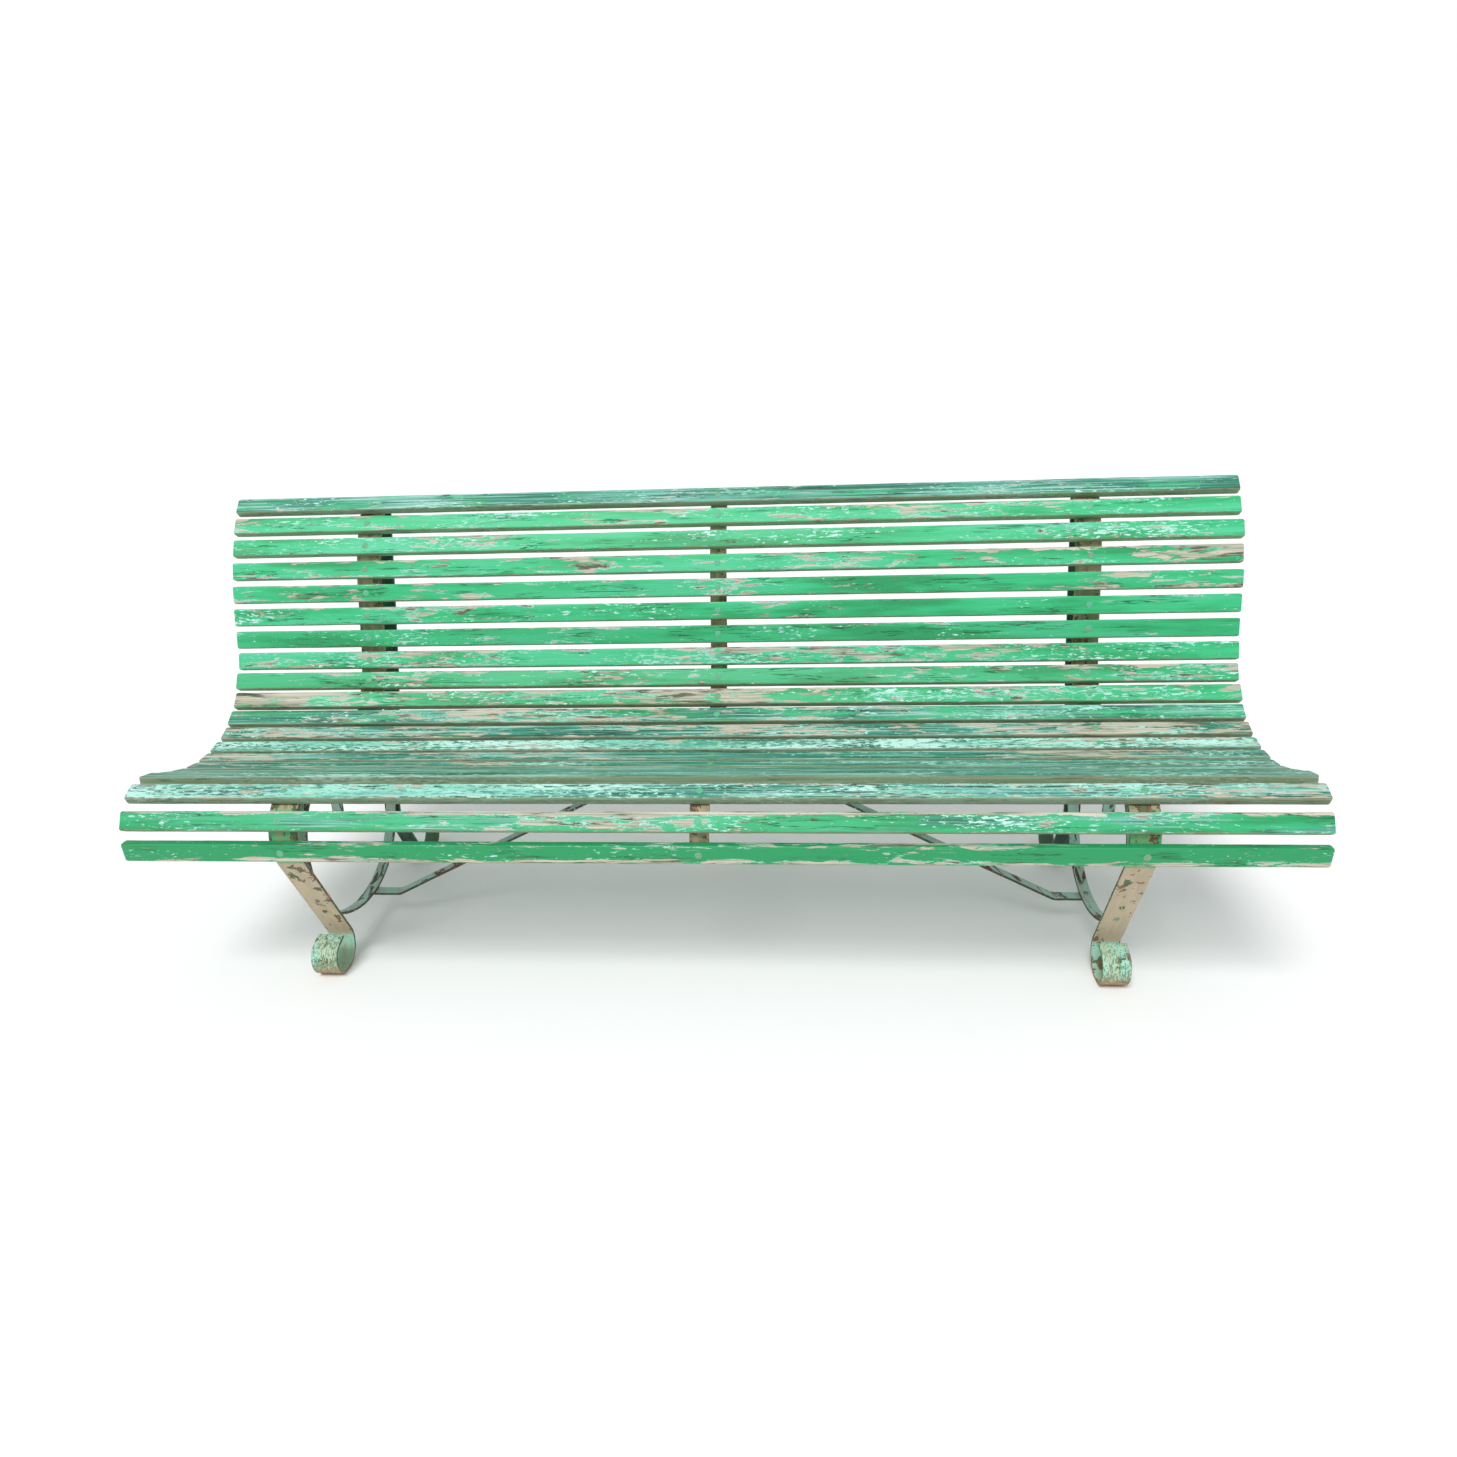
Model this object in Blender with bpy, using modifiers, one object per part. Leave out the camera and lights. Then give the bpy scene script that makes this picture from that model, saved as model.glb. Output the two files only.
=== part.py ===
"""Garden bench: painted hardwood slats bolted to three bent flat-iron straps.

Each side frame is a wide strap that forms the back, the seat, the rolled front edge,
the front leg and its scroll foot. A narrower rear leg hangs from the top of that strap,
a bow ties the two legs together and a C-scroll props the front of the seat. A bent
stretcher between the bows carries the centre strap.

Metres, +Z up, +X along the bench, the sitter looks along -Y. The origin is on the
ground under the middle of the bench.
"""
from math import ceil, cos, radians, sin

import bmesh
import bpy
from mathutils import Vector

# Overall
BENCH_LENGTH = 2.20
MIDDLE_Y = 0.3780                  # from the front of the bench to its middle
FRAME_X = 0.790                    # centre of each side frame
TOUCH_GAP = 0.0003                 # left between pieces that touch

# Slats, from the top of the back to the rolled front edge
SLAT_COUNT = 21
SLAT_WIDTH = 0.038
SLAT_THICKNESS = 0.018
SLAT_PITCH = 0.050                 # along the strap's centre line
SLAT_EDGE = 0.003
FIRST_SLAT_AT = 0.015              # from the top end of the strap
BOLTED_SLATS = (1, 21)             # the slats whose bolts and nuts are modelled here

# Flat bars: width and thickness
STRAP = (0.054, 0.008)
CENTRE_STRAP = (0.036, 0.007)
REAR_LEG = (0.036, 0.008)
BRACE = (0.024, 0.006)

# Fasteners
RIVET_RADIUS = 0.003
RIVET_HEAD = (0.0050, 0.0030)      # radius and height
RIVET_SLACK = 0.0005               # under each head, for the bars' curve
BOLT_RADIUS = 0.003
BOLT_HEAD = (0.0075, 0.0024)
NUT_SIZE = (0.011, 0.005)          # across flats and height
HOLE_CLEARANCE = 0.0004
HOLE_DEPTH = 0.045

# Strap: start as (distance from the front, height), heading in degrees, then its bends.
# A heading of 0 points to the back of the bench and 90 points up.
STRAP_TOP = (0.707, 0.860)
STRAP_TOP_HEADING = 221.8
BACK_AND_SEAT = [
    ("bend", 0.364, 31.8),         # top of the back
    ("run", 0.133),                # straight of the back
    ("bend", 0.266, -58.5),        # small of the back
    ("bend", 0.307, -32.7),        # dished seat
    ("run", 0.072),                # rising front of the seat
]
FRONT_ROLL = [
    ("bend", 0.084, 126.4),
    ("bend", 0.161, 9.2),
]
FRONT_FOOT = [
    ("bend", 0.046, -118.0),       # down on to the ground
    ("run", 0.010),                # lies on the ground
    ("bend", 0.033, -163.0),       # up the front
    ("run", 0.026),                # tip, back towards the leg
]
CENTRE_STRAP_END = 1.035           # just past the last slat

# Rear leg: its lap behind the top of the strap, then its bends
REAR_LAP = 0.052
REAR_LAP_RIVET = 0.040
REAR_UPPER = [
    ("run", 0.004),
    ("bend", 0.020, -149.8),       # curls over the top
    ("run", 0.368),
    ("bend", 0.300, -6.0),
    ("run", 0.278),
]
REAR_KNEE = [("bend", 0.050, 56.0)]
REAR_FOOT = [
    ("bend", 0.034, 58.0),         # down on to the ground
    ("run", 0.050),                # lies on the ground
    ("bend", 0.034, 175.0),        # up the back
    ("run", 0.050),                # tip
]

# Bow between the legs
BOW_LAP = 0.032
BOW_FRONT_HEIGHT = 0.127
BOW_REAR_HEIGHT = 0.188
BOW_LEAVE = (0.030, 28.0)
BOW_REACH = (0.142, 0.154)

# C-scroll under the front of the seat
SCROLL_LAP = 0.033
SCROLL_LEG_HEIGHT = 0.191
SCROLL_SEAT_AT = 0.790             # along the strap, between two slats
SCROLL_REACH = (0.080, 0.095)
SCROLL_CURL = [("bend", 0.070, -80.0), ("bend", 0.042, -72.0)]

# Stretcher between the bows
STRETCHER_CORNER_X = 0.722
STRETCHER_BEND = 0.030
STRETCHER_LEAN = 6.0
STRETCHER_FOOT_Y = 0.326
STRETCHER_STRAP_AT = 0.640         # along the centre strap, between two slats
STRETCHER_TOP_HALF = 0.100

FINE_STEP = 4.0
STEP = 9.0
ROUND_SIDES = 12


def unit(heading):
    return Vector((cos(radians(heading)), sin(radians(heading))))


def beside(point, heading, offset):
    """A point moved to the right of its heading."""
    return point + offset * Vector((sin(radians(heading)), -cos(radians(heading))))


def move_length(move):
    return move[1] if move[0] == "run" else move[1] * abs(radians(move[2]))


def path_length(moves):
    return sum(move_length(move) for move in moves)


def walk(start, heading, moves, distance):
    """Point and heading at a distance along a chain of runs and bends."""
    point = Vector(start)
    for move in moves:
        part = min(distance, move_length(move))
        if move[0] == "run":
            point = point + part * unit(heading)
        else:
            turn = move[2] * part / move_length(move)
            side = -1 if turn < 0 else 1
            centre = beside(point, heading, -side * move[1])
            heading += turn
            point = beside(centre, heading, side * move[1])
        distance -= part
        if distance <= 0:
            break
    return point, heading


def curvature_at(moves, distance):
    """Signed curvature at a distance along a chain, in turns to the left."""
    for move in moves:
        if distance <= move_length(move):
            return 0.0 if move[0] == "run" else radians(move[2]) / move_length(move)
        distance -= move_length(move)
    return 0.0


def trace(start, heading, moves, step=STEP):
    """Points along a whole chain, with its bends cut into short chords."""
    points = [Vector(start)]
    done = 0.0
    for move in moves:
        chords = 1 if move[0] == "run" else ceil(abs(move[2]) / step)
        for chord in range(1, chords + 1):
            at = done + move_length(move) * chord / chords
            points.append(walk(start, heading, moves, at)[0])
        done += move_length(move)
    return points


def sweep_between(start, heading, end, end_heading, reach, chords):
    """Points of a smooth curve that leaves and arrives along the given headings."""
    handles = (start, start + reach[0] * unit(heading), end - reach[1] * unit(end_heading), end)
    points = []
    for chord in range(chords + 1):
        t = chord / chords
        weights = ((1 - t) ** 3, 3 * t * (1 - t) ** 2, 3 * t * t * (1 - t), t ** 3)
        points.append(sum((w * h for w, h in zip(weights, handles)), Vector((0.0, 0.0))))
    return points


def place(x, point):
    """A point of a side profile, in the bench's own axes."""
    return Vector((x, point[0] - MIDDLE_Y, point[1]))


def make_material(name, color, roughness, metallic):
    material = bpy.data.materials.new(name)
    material.use_nodes = True
    shader = material.node_tree.nodes["Principled BSDF"]
    shader.inputs["Base Color"].default_value = (*color, 1.0)
    shader.inputs["Roughness"].default_value = roughness
    shader.inputs["Metallic"].default_value = metallic
    return material


def make_collection(name):
    collection = bpy.data.collections.new(name)
    bpy.context.scene.collection.children.link(collection)
    return collection


def add_object(name, shape, collection, material=None):
    mesh = bpy.data.meshes.new(name)
    shape.to_mesh(mesh)
    shape.free()
    if material:
        mesh.materials.append(material)
    item = bpy.data.objects.new(name, mesh)
    collection.objects.link(item)
    return item


def flat_bar(name, points, size, across, material):
    """A bent flat bar: its centre line swept across its width, then thickened."""
    width, thickness = size
    shape = bmesh.new()
    line = [shape.verts.new(point - across * width / 2) for point in points]
    edges = [shape.edges.new(pair) for pair in zip(line, line[1:])]
    swept = bmesh.ops.extrude_edge_only(shape, edges=edges)["geom"]
    moved = [item for item in swept if isinstance(item, bmesh.types.BMVert)]
    bmesh.ops.translate(shape, verts=moved, vec=across * width)
    bmesh.ops.recalc_face_normals(shape, faces=shape.faces)
    bar = add_object(name, shape, parts, material)
    solid = bar.modifiers.new("thickness", "SOLIDIFY")
    solid.thickness = thickness
    solid.offset = 0.0
    solid.use_even_offset = True
    return bar


def drill(item, places, radius):
    """Cut round holes; each place is a centre and the tilt of its axis about X."""
    shape = bmesh.new()
    for centre, tilt in places:
        made = bmesh.ops.create_cone(shape, cap_ends=True, segments=ROUND_SIDES, radius1=radius,
                                     radius2=radius, depth=HOLE_DEPTH)
        axis = Vector((0, -sin(radians(tilt)), cos(radians(tilt))))
        turn = Vector((0, 0, 1)).rotation_difference(axis).to_matrix()
        bmesh.ops.rotate(shape, verts=made["verts"], matrix=turn)
        bmesh.ops.translate(shape, verts=made["verts"], vec=centre)
    bmesh.ops.transform(shape, matrix=item_matrix(item).inverted(), verts=shape.verts)
    cutter = add_object(item.name + "_drill", shape, cutters)
    cutter.matrix_world = item_matrix(item)
    cutter.hide_render = True
    cutter.display_type = "WIRE"
    cut = item.modifiers.new("holes", "BOOLEAN")
    cut.object = cutter
    cut.operation = "DIFFERENCE"


def item_matrix(item):
    return item.matrix_basis.copy()


def turned(name, profile, material, centre, tilt):
    """A turned piece from (radius, height) points, stood at a place with a tilt about X."""
    shape = bmesh.new()
    line = [shape.verts.new((radius, 0.0, height)) for radius, height in profile]
    for pair in zip(line, line[1:]):
        shape.edges.new(pair)
    item = add_object(name, shape, parts, material)
    screw = item.modifiers.new("turn", "SCREW")
    screw.steps = ROUND_SIDES
    screw.render_steps = ROUND_SIDES
    screw.use_merge_vertices = True
    screw.merge_threshold = 0.00002
    item.location = centre
    item.rotation_euler = (radians(tilt), 0, 0)
    return item


def dome(size):
    radius, height = size
    return [(radius * cos(radians(a)), height * sin(radians(a))) for a in (90, 60, 30, 0)]


def add_rivet(name, centre, tilt, grip):
    """A rivet with two domed heads, through bars whose thicknesses add up to its grip."""
    seat = grip / 2 + RIVET_SLACK
    upper = [(radius, seat + height) for radius, height in dome(RIVET_HEAD)]
    upper[0] = (0.0, upper[0][1])
    upper.append((RIVET_RADIUS, seat))
    lower = [(radius, -height) for radius, height in reversed(upper)]
    return turned(name, upper + lower, rivet_iron, centre, tilt)


def add_bolt(name, seat, tilt, stack):
    """A coach bolt whose domed head rests at its seat, with its nut behind the strap."""
    head = [(radius, TOUCH_GAP + height) for radius, height in dome(BOLT_HEAD)]
    head[0] = (0.0, head[0][1])
    tail = -stack - NUT_SIZE[1] - 2 * TOUCH_GAP
    shank = [(BOLT_RADIUS, TOUCH_GAP), (BOLT_RADIUS, tail - 0.002), (BOLT_RADIUS - 0.001, tail - 0.003),
             (0.0, tail - 0.003)]
    return turned(name, head + shank, bolt_iron, seat, tilt)


def add_nut(name, seat, tilt, stack):
    across, height = NUT_SIZE
    shape = bmesh.new()
    bmesh.ops.create_cube(shape, size=1.0)
    bmesh.ops.scale(shape, vec=(across, across, height), verts=shape.verts)
    middle = -stack - TOUCH_GAP - height / 2
    nut = add_object(name, shape, parts, bolt_iron)
    nut.location = seat + middle * Vector((0, -sin(radians(tilt)), cos(radians(tilt))))
    nut.rotation_euler = (radians(tilt), 0, 0)
    drill(nut, [(nut.location, tilt)], BOLT_RADIUS + HOLE_CLEARANCE)


def slat_seat(number):
    """A slat's place on the strap's centre line, and how far it has to stand off."""
    at = FIRST_SLAT_AT + SLAT_PITCH * (number - 1)
    chain = BACK_AND_SEAT + FRONT_ROLL
    point, heading = walk(STRAP_TOP, STRAP_TOP_HEADING, chain, at)
    hollow = max(0.0, -curvature_at(chain, at))
    return point, heading, TOUCH_GAP + hollow * SLAT_WIDTH ** 2 / 8


def add_slats():
    for number in range(1, SLAT_COUNT + 1):
        point, heading, lift = slat_seat(number)
        centre = beside(point, heading, STRAP[1] / 2 + lift + SLAT_THICKNESS / 2)
        shape = bmesh.new()
        bmesh.ops.create_cube(shape, size=1.0)
        bmesh.ops.scale(shape, vec=(BENCH_LENGTH, SLAT_WIDTH, SLAT_THICKNESS), verts=shape.verts)
        slat = add_object(f"slat_{number:02d}", shape, parts, slat_paint)
        slat.location = place(0.0, centre)
        slat.rotation_euler = (radians(heading - 180), 0, 0)
        bevel = slat.modifiers.new("eased_edges", "BEVEL")
        bevel.width = SLAT_EDGE
        bevel.segments = 1
        if number in BOLTED_SLATS:
            places = [(place(x, centre), heading - 180) for x in (-FRAME_X, 0.0, FRAME_X)]
            drill(slat, places, BOLT_RADIUS + HOLE_CLEARANCE)


def add_slat_bolts(side, x, thicknesses):
    """Bolts and nuts through the iron behind each of the modelled slats."""
    for number, thickness in zip(BOLTED_SLATS, thicknesses):
        point, heading, lift = slat_seat(number)
        face = beside(point, heading, STRAP[1] / 2 + lift + SLAT_THICKNESS)
        stack = STRAP[1] / 2 + lift + SLAT_THICKNESS + thickness
        add_bolt(f"slat_bolt_{number:02d}_{side}", place(x, face), heading - 180, stack)
        add_nut(f"slat_nut_{number:02d}_{side}", place(x, face), heading - 180, stack)


def slat_holes(x, numbers=BOLTED_SLATS):
    holes = []
    for number in numbers:
        point, heading, _ = slat_seat(number)
        holes.append((place(x, point), heading - 180))
    return holes


def lap_offset(first, second):
    return (first[1] + second[1]) / 2 + TOUCH_GAP


def stack_middle(first, second):
    """From the first bar's centre line to the middle of the two bars' stack."""
    return (second[1] + TOUCH_GAP) / 2


def run_to_ground(point, heading, foot, thickness):
    """How far a leg runs straight so that its foot ends up lying on the ground."""
    landed = walk((0.0, 0.0), heading, foot[:1], move_length(foot[0]))[0]
    return (thickness / 2 - landed[1] - point[1]) / sin(radians(heading))


def at_height(point, heading, height):
    """The point of a straight line at a height."""
    return point + unit(heading) * (height - point[1]) / sin(radians(heading))


def side_profiles():
    """Centre lines and rivet places of one side frame, seen from the side."""
    seat = BACK_AND_SEAT + FRONT_ROLL
    leg, leg_heading = walk(STRAP_TOP, STRAP_TOP_HEADING, seat, path_length(seat))
    leg_run = run_to_ground(leg, leg_heading, FRONT_FOOT, STRAP[1])
    strap_moves = seat + [("run", leg_run)] + FRONT_FOOT
    strap = trace(STRAP_TOP, STRAP_TOP_HEADING, strap_moves, FINE_STEP)

    # Rear leg: lapped behind the top of the strap, then over the top and down.
    inset = lap_offset(STRAP, REAR_LEG)
    top, top_heading = walk(STRAP_TOP, STRAP_TOP_HEADING, BACK_AND_SEAT, REAR_LAP)
    lap_radius = BACK_AND_SEAT[0][1] - inset
    lap_turn = STRAP_TOP_HEADING - top_heading
    rear_start = beside(top, top_heading, -inset)
    upper = [("bend", lap_radius, lap_turn)] + REAR_UPPER
    knee, knee_heading = walk(rear_start, top_heading - 180, upper, path_length(upper))
    shin, shin_heading = walk(knee, knee_heading, REAR_KNEE, path_length(REAR_KNEE))
    shin_run = run_to_ground(shin, shin_heading, REAR_FOOT, REAR_LEG[1])
    rear_moves = upper + REAR_KNEE + [("run", shin_run)] + REAR_FOOT
    rear = trace(rear_start, top_heading - 180, rear_moves, FINE_STEP)
    lapped, lapped_heading = walk(STRAP_TOP, STRAP_TOP_HEADING, BACK_AND_SEAT, REAR_LAP_RIVET)

    # Bow: up the back of the front leg and up the front of the rear leg.
    brace_inset = lap_offset(STRAP, BRACE)
    front_line = beside(leg, leg_heading, -brace_inset)
    front_end = at_height(front_line, leg_heading, BOW_FRONT_HEIGHT)
    bow = [front_end - BOW_LAP * unit(leg_heading)]
    leave = [("bend", BOW_LEAVE[0], BOW_LEAVE[1])]
    bow += trace(front_end, leg_heading, leave)
    leave_end, leave_heading = walk(front_end, leg_heading, leave, path_length(leave))
    rear_line = beside(knee, knee_heading, lap_offset(REAR_LEG, BRACE))
    rear_end = at_height(rear_line, knee_heading, BOW_REAR_HEIGHT + BOW_LAP)
    bow_up = rear_end + BOW_LAP * unit(knee_heading)
    rise = knee_heading - 180
    bow += sweep_between(leave_end, leave_heading, bow_up, rise, BOW_REACH, 14)[1:]
    bow.append(rear_end)

    # C-scroll: up from the back of the front leg, under the seat and round.
    scroll_end = at_height(front_line, leg_heading, SCROLL_LEG_HEIGHT)
    under, under_heading = walk(STRAP_TOP, STRAP_TOP_HEADING, BACK_AND_SEAT, SCROLL_SEAT_AT)
    under_point = beside(under, under_heading, -brace_inset)
    flat = 0.009 * unit(under_heading)
    scroll = [scroll_end + SCROLL_LAP * unit(leg_heading)]
    scroll += sweep_between(scroll_end, leg_heading - 180, under_point + flat, under_heading - 180,
                            (SCROLL_REACH[1], SCROLL_REACH[0]), 12)
    scroll += trace(under_point - flat, under_heading - 180, SCROLL_CURL)

    leg_stack = stack_middle(STRAP, BRACE)
    bow_rivet = front_end - BOW_LAP / 2 * unit(leg_heading)
    scroll_rivet = scroll_end + SCROLL_LAP / 2 * unit(leg_heading)
    rear_rivet = rear_end + BOW_LAP / 2 * unit(knee_heading)
    rear_shift = lap_offset(REAR_LEG, BRACE) - stack_middle(REAR_LEG, BRACE)
    rivets = {
        "back_top": (beside(lapped, lapped_heading, -stack_middle(STRAP, REAR_LEG)), lapped_heading,
                     STRAP[1] + REAR_LEG[1] + TOUCH_GAP),
        "bow_front": (beside(bow_rivet, leg_heading, brace_inset - leg_stack), leg_heading,
                      STRAP[1] + BRACE[1] + TOUCH_GAP),
        "bow_rear": (beside(rear_rivet, knee_heading, -rear_shift), knee_heading,
                     REAR_LEG[1] + BRACE[1] + TOUCH_GAP),
        "scroll_leg": (beside(scroll_rivet, leg_heading, brace_inset - leg_stack), leg_heading,
                       STRAP[1] + BRACE[1] + TOUCH_GAP),
        "scroll_seat": (beside(under, under_heading, -leg_stack), under_heading,
                        STRAP[1] + BRACE[1] + TOUCH_GAP),
    }
    return {"strap": strap, "rear": rear, "bow": bow, "scroll": scroll, "rivets": rivets}


def height_on(line, y):
    """The lowest height of a profile at a distance from the front."""
    heights = []
    for first, second in zip(line, line[1:]):
        if min(first[0], second[0]) <= y <= max(first[0], second[0]) and first[0] != second[0]:
            share = (y - first[0]) / (second[0] - first[0])
            heights.append(first[1] + share * (second[1] - first[1]))
    return min(heights)


def add_side_frame(side, x, profiles, foot_rivet):
    across = Vector((1, 0, 0))
    rivets = profiles["rivets"]
    bars = {
        "side_strap": ("strap", STRAP, strap_paint,
                       ("back_top", "bow_front", "scroll_leg", "scroll_seat")),
        "rear_leg": ("rear", REAR_LEG, leg_paint, ("back_top", "bow_rear")),
        "leg_bow": ("bow", BRACE, brace_paint, ("bow_front", "bow_rear")),
        "seat_scroll": ("scroll", BRACE, brace_paint, ("scroll_leg", "scroll_seat")),
    }
    for name, (line, size, paint, joints) in bars.items():
        points = [place(x, point) for point in profiles[line]]
        bar = flat_bar(f"{name}_{side}", points, size, across, paint)
        holes = [(place(x, rivets[joint][0]), rivets[joint][1] - 180) for joint in joints]
        if name == "leg_bow":
            holes.append((foot_rivet[0], foot_rivet[1]))
        if name == "side_strap":
            holes += slat_holes(x)
        if name == "rear_leg":
            holes += slat_holes(x, BOLTED_SLATS[:1])
        drill(bar, holes, RIVET_RADIUS + HOLE_CLEARANCE)
    for joint, (point, heading, grip) in rivets.items():
        add_rivet(f"rivet_{joint}_{side}", place(x, point), heading - 180, grip)
    add_rivet(f"rivet_stretcher_{side}", foot_rivet[0], foot_rivet[1], foot_rivet[2])


def add_middle(profiles):
    """The centre strap and the bent stretcher that carries it; returns its end rivets."""
    seat = BACK_AND_SEAT + FRONT_ROLL
    cut_short = CENTRE_STRAP_END - path_length(BACK_AND_SEAT)
    roll_part = [("bend", 0.084, 126.4 * cut_short / move_length(FRONT_ROLL[0]))]
    if cut_short > move_length(FRONT_ROLL[0]):
        rest = cut_short - move_length(FRONT_ROLL[0])
        roll_part = [FRONT_ROLL[0], ("bend", FRONT_ROLL[1][1], 9.2 * rest / move_length(FRONT_ROLL[1]))]
    line = trace(STRAP_TOP, STRAP_TOP_HEADING, BACK_AND_SEAT + roll_part, FINE_STEP)
    across = Vector((1, 0, 0))
    strap = flat_bar("centre_strap", [place(0.0, point) for point in line], CENTRE_STRAP, across,
                     strap_paint)

    under, heading = walk(STRAP_TOP, STRAP_TOP_HEADING, seat, STRETCHER_STRAP_AT)
    top = beside(under, heading, -lap_offset(CENTRE_STRAP, BRACE))
    bow_height = height_on(profiles["bow"], STRETCHER_FOOT_Y)
    foot = Vector((STRETCHER_FOOT_Y, bow_height)) - lap_offset(BRACE, BRACE) * unit(90 + STRETCHER_LEAN)
    rise = top[1] - foot[1]
    end_x = FRAME_X + BRACE[0] / 2
    half = polyline_bends([(end_x, foot[1]), (STRETCHER_CORNER_X, foot[1]),
                           (STRETCHER_TOP_HALF, top[1]), (0.0, top[1])])
    full = [(-u, v) for u, v in half] + [(u, v) for u, v in reversed(half[:-1])]
    points = []
    for u, v in full:
        share = (v - foot[1]) / rise
        points.append(place(u, (foot[0] + share * (top[0] - foot[0]), v)))
    wide = Vector((0, cos(radians(STRETCHER_LEAN)), sin(radians(STRETCHER_LEAN))))
    stretcher = flat_bar("stretcher", points, BRACE, wide, brace_paint)

    lift = lap_offset(BRACE, BRACE) / 2 * unit(90 + STRETCHER_LEAN)
    foot_rivets = {}
    for side, x in (("left", -FRAME_X), ("right", FRAME_X)):
        foot_rivets[side] = (place(x, foot + lift), STRETCHER_LEAN, 2 * BRACE[1] + TOUCH_GAP)
    middle = place(0.0, beside(under, heading, -stack_middle(CENTRE_STRAP, BRACE)))
    add_rivet("rivet_stretcher_centre", middle, heading - 180, CENTRE_STRAP[1] + BRACE[1] + TOUCH_GAP)
    drill(strap, slat_holes(0.0) + [(middle, heading - 180)], RIVET_RADIUS + HOLE_CLEARANCE)
    drill(stretcher, [(foot_rivets[side][0], STRETCHER_LEAN) for side in foot_rivets]
          + [(middle, heading - 180)], RIVET_RADIUS + HOLE_CLEARANCE)
    return foot_rivets


def polyline_bends(corners):
    """A line through corners, with each inner corner rounded to the stretcher's bend."""
    points = [Vector(corners[0])]
    for before, corner, after in zip(corners, corners[1:], corners[2:]):
        before, corner, after = Vector(before), Vector(corner), Vector(after)
        arriving = (corner - before).normalized()
        leaving = (after - corner).normalized()
        turn = arriving.angle(leaving)
        cut = STRETCHER_BEND * (turn / 2)
        for share in (0.0, 0.5, 1.0):
            first = corner - cut * (1 - share) * arriving
            second = corner + cut * share * leaving
            points.append(first.lerp(second, share))
    points.append(Vector(corners[-1]))
    return [(point[0], point[1]) for point in points]


for leftover in list(bpy.data.objects):
    bpy.data.objects.remove(leftover, do_unlink=True)

parts = make_collection("garden_bench")
cutters = make_collection("cutters")

slat_paint = make_material("slat_paint", (0.06, 0.60, 0.29), 0.6, 0.0)
strap_paint = make_material("strap_paint", (0.36, 0.46, 0.33), 0.6, 0.4)
leg_paint = make_material("leg_paint", (0.25, 0.42, 0.30), 0.6, 0.4)
brace_paint = make_material("brace_paint", (0.34, 0.50, 0.42), 0.6, 0.4)
rivet_iron = make_material("rivet_iron", (0.20, 0.14, 0.10), 0.7, 0.7)
bolt_iron = make_material("bolt_iron", (0.12, 0.45, 0.25), 0.6, 0.4)

side_lines = side_profiles()
add_slats()
stretcher_rivets = add_middle(side_lines)
for side, x in (("left", -FRAME_X), ("right", FRAME_X)):
    add_side_frame(side, x, side_lines, stretcher_rivets[side])
    add_slat_bolts(side, x, (STRAP[1] / 2 + TOUCH_GAP + REAR_LEG[1] + RIVET_SLACK, STRAP[1] / 2))
add_slat_bolts("centre", 0.0, (CENTRE_STRAP[1] / 2, CENTRE_STRAP[1] / 2))
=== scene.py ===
from math import ceil, cos, pi, radians, sin

import bmesh
import bpy
from mathutils import Matrix, Vector, noise


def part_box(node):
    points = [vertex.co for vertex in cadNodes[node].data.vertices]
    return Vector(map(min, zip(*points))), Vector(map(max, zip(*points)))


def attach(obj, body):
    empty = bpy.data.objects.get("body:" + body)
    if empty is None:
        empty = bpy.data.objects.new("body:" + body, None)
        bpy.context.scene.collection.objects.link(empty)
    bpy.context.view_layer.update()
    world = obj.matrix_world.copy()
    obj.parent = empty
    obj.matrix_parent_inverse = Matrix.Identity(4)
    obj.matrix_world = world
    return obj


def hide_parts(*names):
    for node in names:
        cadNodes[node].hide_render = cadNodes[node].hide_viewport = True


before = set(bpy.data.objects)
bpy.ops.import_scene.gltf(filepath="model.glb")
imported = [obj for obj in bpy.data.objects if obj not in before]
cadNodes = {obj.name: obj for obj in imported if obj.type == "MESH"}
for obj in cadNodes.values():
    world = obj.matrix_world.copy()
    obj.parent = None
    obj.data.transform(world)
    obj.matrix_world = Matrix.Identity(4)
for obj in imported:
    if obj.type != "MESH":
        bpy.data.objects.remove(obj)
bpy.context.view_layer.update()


def srgb(red, green, blue):
    channels = [value / 255 for value in (red, green, blue)]
    linear = [c / 12.92 if c <= 0.04045 else ((c + 0.055) / 1.055) ** 2.4 for c in channels]
    return (*linear, 1.0)


def addNode(tree, kind, inputs=None, **settings):
    node = tree.nodes.new(kind)
    for name, value in settings.items():
        setattr(node, name, value)
    for name, value in (inputs or {}).items():
        if isinstance(value, bpy.types.NodeSocket):
            tree.links.new(value, node.inputs[name])
        else:
            node.inputs[name].default_value = value
    return node


def nodeOut(tree, kind, inputs=None, **settings):
    return addNode(tree, kind, inputs, **settings).outputs[0]


def geometryOut(tree, kind, inputs=None, **settings):
    return nodeOut(tree, "GeometryNode" + kind, inputs, **settings)


def calc(tree, operation, *values, clamp=False):
    inputs = dict(enumerate(values))
    return nodeOut(tree, "ShaderNodeMath", inputs, operation=operation, use_clamp=clamp)


def times(tree, first, second):
    return calc(tree, "MULTIPLY", first, second)


# first times second plus third
def timesPlus(tree, first, second, third, clamp=False):
    return calc(tree, "MULTIPLY_ADD", first, second, third, clamp=clamp)


def vectorCalc(tree, operation, *values):
    return nodeOut(tree, "ShaderNodeVectorMath", dict(enumerate(values)), operation=operation)


def combine(tree, x, y, z):
    return nodeOut(tree, "ShaderNodeCombineXYZ", {0: x, 1: y, 2: z})


def separate(tree, vector):
    return addNode(tree, "ShaderNodeSeparateXYZ", {0: vector}).outputs


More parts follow.
